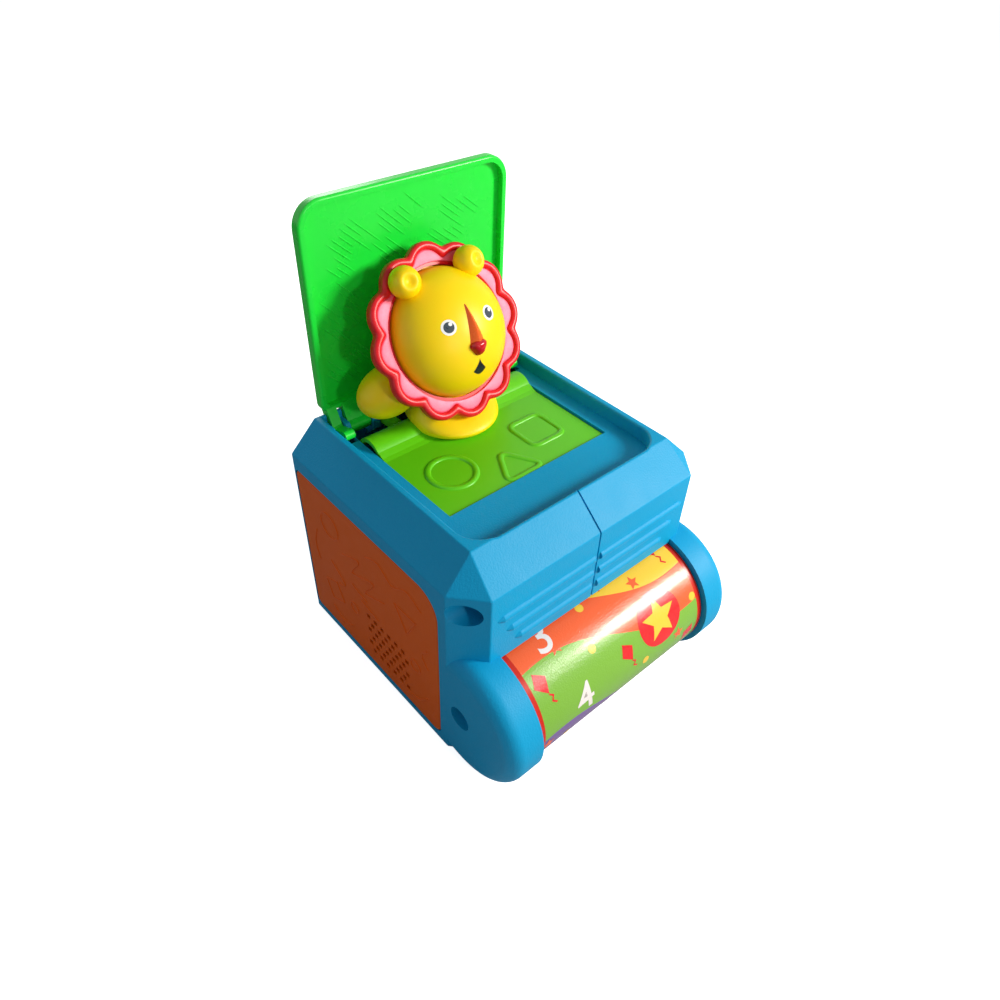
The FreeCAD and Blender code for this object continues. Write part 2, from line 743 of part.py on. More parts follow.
def half_ellipsoid(radius, depth, base_y, direction):
    """Solid dome on a plane across Y; direction -1 bulges forward."""
    count = 8
    rim = [V(radius * math.cos(math.pi / 2 * k / count),
             base_y + direction * depth * math.sin(math.pi / 2 * k / count), 0)
           for k in range(count + 1)]
    curve = Part.BSplineCurve()
    curve.interpolate(Points=rim, InitialTangent=V(0, direction, 0),
                      FinalTangent=V(-1, 0, 0))
    base = V(0, base_y, 0)
    edges = [Part.LineSegment(base, rim[0]).toShape(), curve.toShape(),
             Part.LineSegment(rim[-1], base).toShape()]
    return Part.Face(Part.Wire(edges)).revolve(V(0, 0, 0), V(0, 1, 0), 360)


def dome_shell(radius, depth, base_y, direction):
    outer = half_ellipsoid(radius, depth, base_y, direction)
    inner = half_ellipsoid(radius - lion_wall, depth - lion_wall, base_y, direction)
    return outer.cut(inner)


def scalloped(radius, core_radius, y0, y1, round_off):
    """Disc with rounded lobes, lying across Y."""
    reach = mane_radius - lobe_radius
    discs = [Part.makeCylinder(core_radius, y1 - y0, V(0, y0, 0), V(0, 1, 0))]
    for index in range(mane_lobes):
        angle = 2 * math.pi * (index + 0.5) / mane_lobes
        centre = V(reach * math.cos(angle), y0, reach * math.sin(angle))
        discs.append(Part.makeCylinder(radius, y1 - y0, centre, V(0, 1, 0)))
    disc = discs[0].multiFuse(discs[1:]).removeSplitter()
    step = 2 * math.pi / mane_lobes

    def in_notch(edge):
        start = edge.Vertexes[0].Point
        if edge.BoundBox.YLength < 0.9 * (y1 - y0):
            return False
        away = math.hypot(start.x, start.z)
        turns = math.atan2(start.z, start.x) / step
        between = abs(turns - round(turns)) < 0.02
        return between != (away < core_radius + 0.01)

    return soften(disc, round_off, in_notch)


def make_head():
    half = mane_thickness / 2
    opening = Part.makeCylinder(face_radius + face_gap, mane_thickness + 4,
                                V(0, -half - 2, 0), V(0, 1, 0))
    seat_floor = -half + insert_sink + insert_thickness
    ring = scalloped(lobe_radius, mane_radius - lobe_radius, -half, half, notch_round)
    inner_lobe = lobe_radius - mane_rim
    ring = ring.cut(scalloped(inner_lobe, insert_core, -half - 1, seat_floor,
                              inlay_notch_round))
    ring = soften(ring, mane_round,
                  lambda edge: edge.BoundBox.YLength < 1e-6 and edge.BoundBox.YMax < 1 - half)
    ring = ring.cut(opening)
    web = Part.makeCylinder(face_radius + face_gap, 1.2, V(0, half - 1.2, 0), V(0, 1, 0))
    ring = ring.fuse(web).removeSplitter()
    insert = scalloped(inner_lobe - insert_gap, insert_core - insert_gap,
                       seat_floor - insert_thickness, seat_floor,
                       inlay_notch_round).cut(opening)
    face_base = half - 1.2
    face_solid = half_ellipsoid(face_radius, face_depth, face_base, -1)
    face = dome_shell(face_radius, face_depth, face_base, -1)
    nape_solid = half_ellipsoid(nape_radius, nape_depth, half, 1)
    nape = dome_shell(nape_radius, nape_depth, half, 1)
    ears = []
    for side in (-1, 1):
        ear = Part.makeSphere(ear_radius, V(side * ear_spread, ear_forward, ear_rise))
        cup = Part.makeSphere(ear_radius * 0.62, V(side * (ear_spread + 0.6),
                                                   ear_forward - ear_radius * 0.92, ear_rise))
        ears.append(ear.cut(cup).cut(face_solid).cut(
            Part.makeBox(80, 40, 80, V(-40, -half, -40))))
    bridge = prism([V(-0.7, 0, nose_top), V(0.7, 0, nose_top),
                    V(nose_half, 0, nose_low), V(-nose_half, 0, nose_low)], V(0, -40, 0))
    ridge = side_prism([(-face_depth + 2, nose_top + 0.5), (-face_depth - nose_proud, nose_low),
                        (-face_depth + 8, nose_low), (-face_depth + 8, nose_top + 0.5)],
                       -nose_half, nose_half)
    roof = ridge
    for side in (-1, 1):
        roof = keep_behind(roof, V(0, -face_depth - nose_proud - 0.3, nose_low),
                           V(side * 0.75, -1, -0.18))
    bridge = bridge.common(roof).cut(face_solid)
    tip = Part.makeSphere(nose_half + 0.2, V(0, -face_depth + 0.6, nose_low - 0.4))
    tip = tip.common(box(-10, 10, -60, 0, nose_low - 8, nose_low)).cut(face_solid)
    parts = {"mane": ring, "mane_insert": insert, "face_shell": face, "nape_shell": nape,
             "nose_bridge": bridge, "nose_tip": tip, "ears": Part.makeCompound(ears)}
    for shape in parts.values():
        in_head(shape)
    return parts, in_head(nape_solid), in_head(
        Part.makeCylinder(mane_radius + 1, 2 * mane_thickness,
                          V(0, half - 2 * mane_thickness, 0), V(0, 1, 0)))


def make_torso(nape_solid, mane_disc):
    """Seated body: a bellied form turned about an upright axis, with two arms."""
    middle = foot_front + torso_radius
    outline = [(torso_radius - 1.6, flap_top), (torso_radius, flap_top + 4.0),
               (torso_radius - 1.0, flap_top + 9.0), (torso_radius - 5.0, flap_top + 18.0),
               (torso_radius - 9.5, flap_top + 27.0), (0.01, flap_top + 31.0)]
    curve = Part.BSplineCurve()
    curve.interpolate([V(r, 0, z) for r, z in outline])
    edges = [curve.toShape(),
             Part.LineSegment(V(0.01, 0, outline[-1][1]), V(0.01, 0, flap_top)).toShape(),
             Part.LineSegment(V(0.01, 0, flap_top), V(outline[0][0], 0, flap_top)).toShape()]
    torso = Part.Face(Part.Wire(edges)).revolve(V(0, 0, 0), V(0, 0, 1), 360)
    torso.translate(V(0, middle, 0))
    torso = torso.cut(rod(hump_radius, -flap_half, flap_half, hump_y, hump_z))
    torso = torso.cut(box(-flap_half, flap_half, hump_y, rear, flap_top - 5,
                          hinge_z + torso_rear_lift))
    foot = math.sqrt(hump_radius ** 2 - (flap_top - hump_z) ** 2)
    torso = torso.cut(box(-flap_half, flap_half, hump_y - foot - 5, hump_y,
                          flap_top - 5, flap_top + 2.0))
    torso = torso.cut(nape_solid).cut(mane_disc)
    arms = []
    for side in (-1, 1):
        outward = half_ellipsoid(arm_radius, arm_half_length, 0, 1)
        inward = half_ellipsoid(arm_radius, arm_half_length, 0, -1)
        arm = outward.fuse(inward).removeSplitter()
        arm.rotate(V(0, 0, 0), V(0, 0, 1), -90 * side)
        arm.rotate(V(0, 0, 0), V(0, 1, 0), side * arm_lean)
        arm.translate(V(side * arm_offset, arm_setback, arm_height))
        arms.append(arm.cut(torso).cut(nape_solid).cut(mane_disc))
    return {"torso": torso, "arms": Part.makeCompound(arms)}


def make_roller():
    """Drum on bushes, end rings, printed sleeve, hub and pinion."""
    half = roller_length / 2
    drum_radius = roller_radius - label_thickness
    drum = tube(drum_radius, drum_radius - roller_wall, -half + ring_width,
                half - ring_width, roller_y, roller_height)
    sleeve = tube(roller_radius, drum_radius, -half + ring_width, half - ring_width,
                  roller_y, roller_height)
    bush_radius = axle_radius + bush_wall
    ring = tube(roller_radius, bush_radius, half - ring_width, half, roller_y, roller_height)
    spigot = tube(drum_radius - roller_wall - spigot_fit, drum_radius - 2 * roller_wall,
                  half - ring_width - 5.0, half - ring_width, roller_y, roller_height)
    ring = ring.fuse(spigot)
    spokes = []
    for turn in range(spoke_count):
        spoke = box(half - ring_width - 4.0, half - ring_width, -1.0, 1.0, hub_radius,
                    drum_radius - 1.5 * roller_wall)
        spoke.rotate(V(0, 0, 0), V(1, 0, 0), 360.0 / spoke_count * turn)
        spoke.translate(V(0, roller_y, roller_height))
        spokes.append(spoke)
    sleeve_end = half - ring_width - bush_length
    ring = ring.multiFuse(spokes)
    ring = ring.fuse(tube(hub_radius + 1.5, bush_radius, sleeve_end, half - ring_width,
                          roller_y, roller_height))
    hub = tube(hub_radius, bush_radius, half, gear_x0, roller_y, roller_height)
    bush = tube(bush_radius, axle_radius + pin_fit, sleeve_end, half, roller_y, roller_height)
    axle = rod(axle_radius, -axle_left_end, axle_right_end, roller_y, roller_height)
    right = ring.fuse(hub)
    return {"roller_drum": drum, "roller_sleeve": sleeve, "roller_ring_left": mirror(ring),
            "roller_ring_right": right, "roller_axle": axle,
            "roller_bushes": Part.makeCompound(both_sides(bush))}


def gear(teeth, width, phase):
    """Spur gear about X with straight-flanked teeth; phase 0 points a tooth along +Y."""
    pitch = gear_module * teeth / 2
    step = 2 * math.pi / teeth
    half_tooth = step / 4 - gear_backlash / (2 * pitch)
    profile = [(pitch - 1.15 * gear_module, half_tooth * 1.45), (pitch, half_tooth),
               (pitch + 0.85 * gear_module, half_tooth * 0.5)]
    points = []
    for index in range(teeth):
        middle = phase + index * step
        flank = [(radius, middle - spread) for radius, spread in profile]
        flank += [(radius, middle + spread) for radius, spread in reversed(profile)]
        for radius, angle in flank:
            points.append(V(0, radius * math.cos(angle), radius * math.sin(angle)))
    return prism(points, V(width, 0, 0))


def make_gears():
    toward = math.radians(cam_gear_angle)
    pinion = gear(pinion_teeth, gear_width, toward)
    pinion = pinion.cut(rod(axle_radius + pin_fit, -1, gear_width + 1, 0, 0))
    pinion.translate(V(gear_x0, roller_y, roller_height))
    wheel = gear(cam_gear_teeth, gear_width, toward + math.pi + math.pi / cam_gear_teeth)
    wheel = wheel.cut(tube(cam_radius + 1, cam_hub_radius - 0.5, gear_width - 1.4,
                           gear_width + 1, 0, 0))
    lobe = side_prism([(-4.5, 0), (-3.0, cam_radius - 1.5), (0, cam_radius),
                       (3.0, cam_radius - 1.5), (4.5, 0)], gear_width - 2.0,
                      gear_width + cam_width)
    lobe = lobe.fuse(rod(cam_hub_radius, gear_width - 2.0, gear_width + cam_width, 0, 0))
    wheel = wheel.fuse(lobe)
    wheel = wheel.cut(rod(gear_shaft_radius + pin_fit, -1, 20, 0, 0))
    wheel.translate(V(gear_x0, cam_gear_y, cam_gear_z))
    shaft = rod(gear_shaft_radius, pocket_half + 0.6, half_width - 4.5, cam_gear_y, cam_gear_z)
    return {"roller_pinion": pinion, "cam_gear": wheel, "cam_gear_shaft": shaft}


def make_latch():
    """Rocking lever behind the well and the rod that trips it."""
    y = latch_pivot_setback
    z = latch_pivot_height
    half = latch_tail_half
    lever = side_prism([(y - 2.2, z), (y - 4.2, z + 9.0), (y - 5.8, z + latch_hook_rise - 0.8),
                        (y - 4.6, z + latch_hook_rise), (y - 3.0, z + latch_hook_rise),
                        (y - 1.2, z + 9.0), (y + 2.2, z), (y + half, z - latch_tail_drop),
                        (y - half, z - latch_tail_drop)], latch_x0, latch_x1)
    lever = lever.fuse(rod(latch_hub_radius, latch_x0, latch_x1, y, z))
    lever = lever.cut(rod(latch_pin_radius + pin_fit, latch_x0 - 1, latch_x1 + 1, y, z))
    pin = rod(latch_pin_radius, latch_x0 - latch_pin_overhang, latch_x1 + latch_pin_overhang,
              y, z)
    high = rod_low + rod_section
    bar = box(rod_x0, rod_x1, rod_front, rod_front + rod_section, cam_gear_z - 3, high)
    run = box(rod_x0, rod_x1, rod_front, rod_rear, rod_low, high)
    toe = box(latch_x0, rod_x1, rod_rear - rod_section, rod_rear, rod_low, high)
    trip = bar.fuse(run).fuse(toe).removeSplitter()
    return {"latch_lever": lever, "latch_pin": pin, "trip_rod": trip}


def coil(radius, wire, turns, x0, pitch, y, z):
    """Wound spring along X."""
    helix = Part.makeHelix(pitch, pitch * turns, radius)
    ring = Part.Wire(Part.makeCircle(wire, V(radius, 0, 0), V(0, 1, 0)))
    solid = Part.Wire(helix).makePipeShell([ring], True, True)
    solid.rotate(V(0, 0, 0), V(0, 1, 0), 90)
    solid.translate(V(x0, y, z))
    return solid


def make_pins_and_springs():
    lid_pin = rod(hinge_pin_radius, -pin_half_length, pin_half_length, hinge_y, hinge_z)
    lid_spring = coil(2.6, 0.45, 6, -8.0, 1.3, hinge_y, hinge_z)
    figure_spring = coil(2.6, 0.45, 6, 13.4, 1.3, hinge_y, hinge_z)
    return {"hinge_pin": lid_pin, "lid_spring": lid_spring, "figure_spring": figure_spring}


def make_screws():
    """Three long screws for the halves and two caps over the axle ends."""
    screws = []
    for y, z in screw_places:
        head = rod(screw_head_radius, -screw_seat - screw_head_height, -screw_seat, y, z)
        slot_long = box(-screw_seat - screw_head_height - 0.1, -screw_seat - 1.2,
                        y - 1.9, y + 1.9, z - 0.4, z + 0.4)
        slot_short = box(-screw_seat - screw_head_height - 0.1, -screw_seat - 1.2,
                         y - 0.4, y + 0.4, z - 1.9, z + 1.9)
        shank = rod(screw_shank_radius, -screw_seat, -screw_seat + screw_length, y, z)
        screws.append(head.cut(slot_long).cut(slot_short).fuse(shank))
    left = half_width - axle_recess_left
    right = half_width - axle_recess_right
    caps = [mirror(rod(axle_cap_radius, left, left + axle_cap_thickness,
                       roller_y, roller_height)),
            rod(axle_cap_radius, right, right + axle_cap_thickness, roller_y, roller_height)]
    return {"housing_screws": Part.makeCompound(screws), "axle_caps": Part.makeCompound(caps)}


def make_battery_parts():
    inner = tray_inner
    tray = box(-tray_half, tray_half, tray_front, tray_rear, wall + 0.05, tray_top)
    tray = tray.cut(box(-inner, inner, tray_front + tray_wall, tray_rear - tray_wall,
                        wall - 1, tray_top - tray_wall))
    boss = box(-5, 5, door_front + 2, tray_front, wall + 2.05, wall + 8)
    tray = tray.fuse(boss)
    tray = tray.cut(Part.makeCylinder(1.2, 20, V(0, door_front + 6, 0)))
    door = rounded_block(-inner + door_gap, inner - door_gap, door_front + door_gap,
                         tray_rear - tray_wall - door_gap, 0, door_thickness,
                         [2.5, 2.5, 2.5, 2.5])
    rim = box(-inner + 1, inner - 1, tray_front + tray_wall + 1, tray_rear - tray_wall - 1,
              door_thickness - 0.01, door_thickness + 0.9)
    rim = rim.cut(box(-inner + 3, inner - 3, tray_front + tray_wall + 3,
                      tray_rear - tray_wall - 3, 0, 10))
    door = door.fuse(rim)
    door = door.cut(Part.makeCylinder(1.4, 10, V(0, door_front + 6, -1)))
    door = door.cut(Part.makeCone(3.0, 1.4, 1.4, V(0, door_front + 6, 0)))
    screw = Part.makeCone(2.9, 1.3, 1.35, V(0, door_front + 6, 0.02))
    screw = screw.fuse(Part.makeCylinder(1.15, 7, V(0, door_front + 6, 1.3)))
    screw = screw.cut(box(-2.0, 2.0, door_front + 5.65, door_front + 6.35, -1, 0.7))
    cell_z = tray_top - tray_wall - 0.2 - cell_radius
    bodies = []
    contacts = []
    for index in range(cells):
        y = tray_setback + (index - (cells - 1) / 2) * cell_pitch
        side = 1 if index % 2 == 0 else -1
        body = rod(cell_radius, -cell_length / 2 + 0.6, cell_length / 2 - 0.9, y, cell_z)
        button = rod(2.7, cell_length / 2 - 0.9, cell_length / 2 + 0.3, y, cell_z)
        cell = body.fuse(button)
        if side < 0:
            cell = mirror(cell)
        bodies.append(cell)
        for end in (-1, 1):
            plate = box(inner - 0.5, inner - 0.02, y - 5, y + 5, cell_z - 5, cell_z + 5)
            plate = plate.fuse(Part.makeCone(3.6, 2.2, inner - 0.5 - cell_length / 2 - 0.35,
                                             V(inner - 0.5, y, cell_z), V(-1, 0, 0)))
            contacts.append(plate if end > 0 else mirror(plate))
    return {"battery_tray": tray, "battery_door": door, "battery_door_screw": screw,
            "battery_cells": Part.makeCompound(bodies),
            "battery_contacts": Part.makeCompound(contacts)}


def make_electronics():
    z0 = tray_top + 0.3
    board = box(-board_width / 2, board_width / 2, tray_setback - board_depth / 2,
                tray_setback + board_depth / 2, z0, z0 + board_thickness)
    chip = box(-6, 6, tray_setback - 6, tray_setback + 6, z0 + board_thickness,
               z0 + board_thickness + 1.2)
    board = board.fuse(chip)
    x0 = -half_width + side_wall + 0.2
    cone = rod(speaker_radius, x0, x0 + 3.0, grille_setback, grille_height)
    basket = Part.makeCone(speaker_radius - 1.0, magnet_radius + 1, speaker_depth - 3.0,
                           V(x0 + 3.0, grille_setback, grille_height), V(1, 0, 0))
    magnet = rod(magnet_radius, x0 + speaker_depth, x0 + speaker_depth + magnet_depth,
                 grille_setback, grille_height)
    dish = Part.makeCone(speaker_radius - 3.0, 4.0, 2.4, V(x0 - 0.01, grille_setback, grille_height),
                         V(1, 0, 0))
    speaker = cone.fuse(basket).cut(dish)
    knob = box(switch_offset - knob_width / 2, switch_offset + knob_width / 2,
               rear - wall - 1.0, rear + 0.8, switch_height - knob_height / 2,
               switch_height + knob_height / 2)
    flange = box(switch_offset - knob_width / 2 - 4.5, switch_offset + knob_width / 2 + 4.5,
                 rear - wall - 2.0, rear - wall - 0.4, switch_height - knob_height / 2 - 1.5,
                 switch_height + knob_height / 2 + 1.5)
    knob = knob.fuse(flange).removeSplitter()
    return {"circuit_board": board, "speaker": speaker, "speaker_magnet": magnet,
            "power_knob": knob}


def collect():
    nodes = {}
    nodes.update(split_housing())
    nodes.update(make_panels())
    nodes.update(make_lid())
    nodes.update(make_flap())
    head, nape_solid, mane_disc = make_head()
    nodes.update(head)
    nodes.update(make_torso(nape_solid, mane_disc))
    nodes.update(make_roller())
    nodes.update(make_gears())
    nodes.update(make_latch())
    nodes.update(make_pins_and_springs())
    nodes.update(make_screws())
    nodes.update(make_battery_parts())
    nodes.update(make_electronics())
    return nodes


for name, shape in collect().items():
    print(name, len(shape.Solids), round(shape.Volume), shape.isValid(),
          [round(v, 1) for v in (shape.BoundBox.XMin, shape.BoundBox.XMax, shape.BoundBox.YMin,
                                 shape.BoundBox.YMax, shape.BoundBox.ZMin, shape.BoundBox.ZMax)])
    shape.exportStep(os.path.join("parts", name + ".step"))
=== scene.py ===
"""Looks of a pop-up animal toy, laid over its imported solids."""

import json
import math
import random

import bmesh
import bpy
from mathutils import Matrix, Vector


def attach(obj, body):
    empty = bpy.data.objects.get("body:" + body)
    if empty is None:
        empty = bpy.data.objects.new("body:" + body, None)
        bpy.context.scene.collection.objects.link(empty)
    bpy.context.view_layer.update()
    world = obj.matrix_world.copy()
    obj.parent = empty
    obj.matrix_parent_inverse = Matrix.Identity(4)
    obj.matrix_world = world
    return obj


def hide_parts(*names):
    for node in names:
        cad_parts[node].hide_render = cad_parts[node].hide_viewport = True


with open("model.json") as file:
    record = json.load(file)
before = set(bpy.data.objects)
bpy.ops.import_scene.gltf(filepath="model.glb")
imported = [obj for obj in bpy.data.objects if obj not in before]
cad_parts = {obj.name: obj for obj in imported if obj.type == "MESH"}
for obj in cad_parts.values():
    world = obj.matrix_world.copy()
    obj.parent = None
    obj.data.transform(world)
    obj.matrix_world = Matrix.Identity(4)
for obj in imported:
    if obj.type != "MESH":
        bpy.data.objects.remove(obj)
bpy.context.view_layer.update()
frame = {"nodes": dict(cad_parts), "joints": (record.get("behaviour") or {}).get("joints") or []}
NODES = frame["nodes"]

bl_info = {
    "name": "Pop-up Animal Toy",
    "version": (1, 0, 0),
    "blender": (4, 5, 0),
    "location": "3D View > Sidebar > Toy",
    "description": "Finishes, prints and reliefs of a pop-up animal toy",
    "category": "Object",
}

# Places in millimetres, in the frame of the solids; pairs are (y, z)
ROLLER = next([1000 * v for v in joint["pos_m"][1:]] for joint in frame["joints"]
              if joint["name"] == "roller_spin")
PANEL_X = max(1000 * corner[0] for corner in NODES["side_panel_right"].bound_box)
HEAD = (34.0, 138.2)
HEAD_TILT = 29.0
TORSO_Y = 32.0
CHEST_Z = 100.5
ARM = (25.5, 41.0, 117.0)
ARM_DROOP = 12.0
LID_FLOOR_Y = 58.6
FLAP_TOP_Z = 98.6

# Places in the head's own frame, whose front is -Y; pairs are (x, z)
HEAD_SEAM_Y = 2.2
DOME_FOOT_Y = 1.0
EAR = (15.6, -6.1, 23.6)
EYE = (9.8, 3.2)
NOSE_TIP_Z = -7.5
MOUTH_Z = -16.6
MANE_FRONT_Y = -1.2

# Edges sharper than this stay crisp under smooth shading
CRISP = math.radians(32)

# How far printed pieces lie over the roller's sleeve, in millimetres
LOW_INK, MIDDLE_INK, TOP_INK = 0.05, 0.06, 0.08


def linear(code):
    """An sRGB hex value as linear red, green, blue and alpha."""
    out = []
    for start in (1, 3, 5):
        c = int(code[start:start + 2], 16) / 255
        out.append(c / 12.92 if c <= 0.04045 else ((c + 0.055) / 1.055) ** 2.4)
    return (*out, 1.0)


def tint(code, label):
    """A colour that a user can change."""
    return bpy.props.FloatVectorProperty(
        name=label, description="Colour of the " + label.lower(), subtype="COLOR",
        size=4, min=0, max=1, default=linear(code))


def length(value, label, words):
    """A size that a user can change, given here in millimetres."""
    return bpy.props.FloatProperty(name=label, description=words, default=value / 1000,
                                   unit="LENGTH", min=0)


class ToyColours(bpy.types.PropertyGroup):
    """Colours of the mouldings and prints."""
    housing: tint("#009ACC", "Housing")
    panel: tint("#E25E00", "Side panels")
    lid: tint("#1CE03C", "Lid")
    flap: tint("#60C810", "Flap")
    lion: tint("#FCD600", "Lion")
    mane: tint("#DC1220", "Mane")
    inlay: tint("#EA5A76", "Mane inlay")
    bridge: tint("#EA6216", "Nose bridge")
    nose: tint("#C4121A", "Nose tip")
    ring: tint("#CC220E", "Roller ends")
    print_green: tint("#7AB238", "Green band")
    print_purple: tint("#73569C", "Purple band")
    print_orange: tint("#F25F2A", "Orange band")
    print_yellow: tint("#F4C638", "Yellow print")
    print_red: tint("#DE131B", "Red print")
    print_white: tint("#EAE3E0", "White print")


class ToySizes(bpy.types.PropertyGroup):
    """Sizes of what is laid over the solids."""
    face_radius: length(26.0, "Face radius", "Radius of the face dome at its foot")
    face_depth: length(19.5, "Face depth", "Height of the face dome")
    nape_radius: length(31.5, "Nape radius", "Radius of the back of the head")
    nape_depth: length(12.0, "Nape depth", "Height of the back of the head")
    mane_radius: length(36.0, "Mane radius", "Radius over the lobes of the mane")
    mane_bead: length(3.3, "Mane rim", "Width of the rounded rim of the mane")
    lobe_radius: length(9.7, "Lobe radius", "Radius of one lobe of the mane")
    ear_radius: length(6.3, "Ear radius", "Radius of an ear")
    arm_radius: length(10.6, "Arm radius", "Radius of an arm at its middle")
    arm_half: length(14.5, "Arm half length", "From an arm's middle to its end")
    eye_radius: length(3.0, "Eye radius", "Radius of the white of an eye")
    stroke: length(0.9, "Stroke width", "Width of the raised strokes on lid and panels")
    panel_rise: length(0.35, "Panel rise", "Height of the relief on the side panels")
    roller_radius: length(29.0, "Roller radius", "Outer radius of the printed roller")
    numeral: length(14.0, "Numeral height", "Height of the printed numerals")


def colours():
    """The colours of the property group."""
    return bpy.context.scene.toy_colours


def mm(name):
    """A size of the property group, in millimetres."""
    return getattr(bpy.context.scene.toy_sizes, name) * 1000


# Materials


def add(tree, kind, values=None, links=None, **settings):
    """A node with its settings, its socket values and what feeds it."""
    node = tree.nodes.new(kind)
    for name, value in settings.items():
        setattr(node, name, value)
    for socket, value in (values or {}).items():
        node.inputs[socket].default_value = value
    for socket, source in (links or {}).items():
        tree.links.new(source, node.inputs[socket])
    return node


def shader(name, **constants):
    """A material with a Principled surface whose fixed sockets are set by name."""
    material = bpy.data.materials.new(name)
    material.use_nodes = True
    tree = material.node_tree
    tree.nodes.clear()
    surface = add(tree, "ShaderNodeBsdfPrincipled")
    for socket, value in constants.items():
        surface.inputs[socket.replace("_", " ")].default_value = value
    add(tree, "ShaderNodeOutputMaterial", links={"Surface": surface.outputs["BSDF"]})
    place = add(tree, "ShaderNodeTexCoord").outputs["Object"]
    return material, tree, surface, place


def scale(feature_mm):
    """Noise scale whose features are this many millimetres across."""
    return 1000 / feature_mm


def clouded(tree, place, shade, amount, feature_mm):
    """A colour that drifts a little lighter and darker."""
    drift = add(tree, "ShaderNodeTexNoise", {"Scale": scale(feature_mm), "Detail": 3.0},
                {"Vector": place})
    value = add(tree, "ShaderNodeMapRange", {"To Min": 1 - amount, "To Max": 1 + amount},
                {"Value": drift.outputs["Fac"]})
    return add(tree, "ShaderNodeHueSaturation", {"Color": shade},
               {"Value": value.outputs["Result"]}).outputs["Color"]


def rough(tree, place, low, high, feature_mm):
    """Roughness that wanders between two values."""
    drift = add(tree, "ShaderNodeTexNoise", {"Scale": scale(feature_mm), "Detail": 4.0},
                {"Vector": place})
    return add(tree, "ShaderNodeMapRange", {"To Min": low, "To Max": high},
               {"Value": drift.outputs["Fac"]}).outputs["Result"]


def grained(tree, place, feature_mm, depth_mm, detail=2.0):
    """Fine bumps of a mould's texture or of a film."""
    pits = add(tree, "ShaderNodeTexNoise", {"Scale": scale(feature_mm), "Detail": detail},
               {"Vector": place})
    return add(tree, "ShaderNodeBump", {"Distance": depth_mm / 1000, "Strength": 1.0},
               {"Height": pits.outputs["Fac"]}).outputs["Normal"]


def finish(name, shade, cloud, sheen, grain=None, **constants):
    """A material whose colour and gloss drift, and which may have a grain.

    The cloud is an amount and a width, the sheen two roughnesses and a width, and the grain
    a width and a depth; widths and depths are in millimetres.
    """
    material, tree, surface, place = shader(name, **constants)
    tree.links.new(clouded(tree, place, shade, *cloud), surface.inputs["Base Color"])
    tree.links.new(rough(tree, place, *sheen), surface.inputs["Roughness"])
    if grain:
        tree.links.new(grained(tree, place, *grain), surface.inputs["Normal"])
    return material


def fine_textured(name, shade):
    """Spark-textured ABS and other matte faces: a fine sparkle in a satin sheen."""
    # The real grain is about 0.3 mm, drawn at 0.7 mm so that it shows
    return finish(name, shade, (0.05, 34), (0.46, 0.56, 9), (0.7, 0.1), IOR=1.53,
                  Specular_IOR_Level=0.22)


def glossy_pp(name, shade, low=0.22, high=0.34):
    """Polypropylene from a polished mould: waxy gloss and light that soaks in a little."""
    return finish(name, shade, (0.04, 28), (low, high, 12), (5.0, 0.02), IOR=1.49,
                  Specular_IOR_Level=0.35, Subsurface_Weight=0.12, Subsurface_Scale=0.002,
                  Subsurface_Radius=(1.0, 0.8, 0.4))


def soft_vinyl(name, shade):
    """Rotomoulded vinyl: satin, deep colour that warms where it turns away."""
    return finish(name, shade, (0.03, 30), (0.36, 0.46, 14), (2.2, 0.012), IOR=1.52,
                  Specular_IOR_Level=0.3, Subsurface_Weight=0.2, Subsurface_Scale=0.004,
                  Subsurface_Radius=(1.0, 0.55, 0.1))


def pearl_pp(name, shade):
    """Polypropylene with mica pearl: a bright bloom over a fine flake sparkle."""
    material, tree, surface, place = shader(name, IOR=1.5, Metallic=0.15)
    flakes = add(tree, "ShaderNodeTexVoronoi", {"Scale": scale(0.8)}, {"Vector": place})
    spread = add(tree, "ShaderNodeMapRange", {"To Min": 0.9, "To Max": 1.15},
                 {"Value": flakes.outputs["Distance"]})
    hue = add(tree, "ShaderNodeHueSaturation", {"Color": shade},
              {"Value": spread.outputs["Result"]})
    tree.links.new(hue.outputs["Color"], surface.inputs["Base Color"])
    tree.links.new(rough(tree, place, 0.4, 0.52, 3), surface.inputs["Roughness"])
    tree.links.new(grained(tree, place, 1.0, 0.02), surface.inputs["Normal"])
    return material


def turned_metal(name, shade, feature_mm=0.5):
    """Bare or plated metal, drawn or turned: a bright face broken up by fine wear."""
    return finish(name, shade, (0.06, 5), (0.24, 0.4, feature_mm), Metallic=1.0)


def natural_nylon(name, shade):
    """Unpigmented nylon of gears and levers: milky, satin, a little translucent."""
    return finish(name, shade, (0.03, 10), (0.4, 0.52, 4), IOR=1.53, Subsurface_Weight=0.25,
                  Subsurface_Scale=0.003, Subsurface_Radius=(1.0, 0.9, 0.7))


def pad_ink(name, code):
    """Pad-printed ink: a thin flat coat with a slight gloss that drifts."""
    return finish(name, linear(code), (0.05, 2), (0.22, 0.36, 2), IOR=1.5)


# Clear film over the roller's print: sharp gloss that breaks up in a fine orange-peel
FILM = {"IOR": 1.45, "Coat_Weight": 0.2, "Coat_Roughness": 0.1}
FILM_SHEEN = (0.16, 0.3, 2)
FILM_PEEL = (0.6, 0.12, 3.0)


def printed_ink(name, shade):
    """One ink of the roller's print, under the clear film."""
    return finish(name, shade, (0.03, 6), FILM_SHEEN, FILM_PEEL, **FILM)


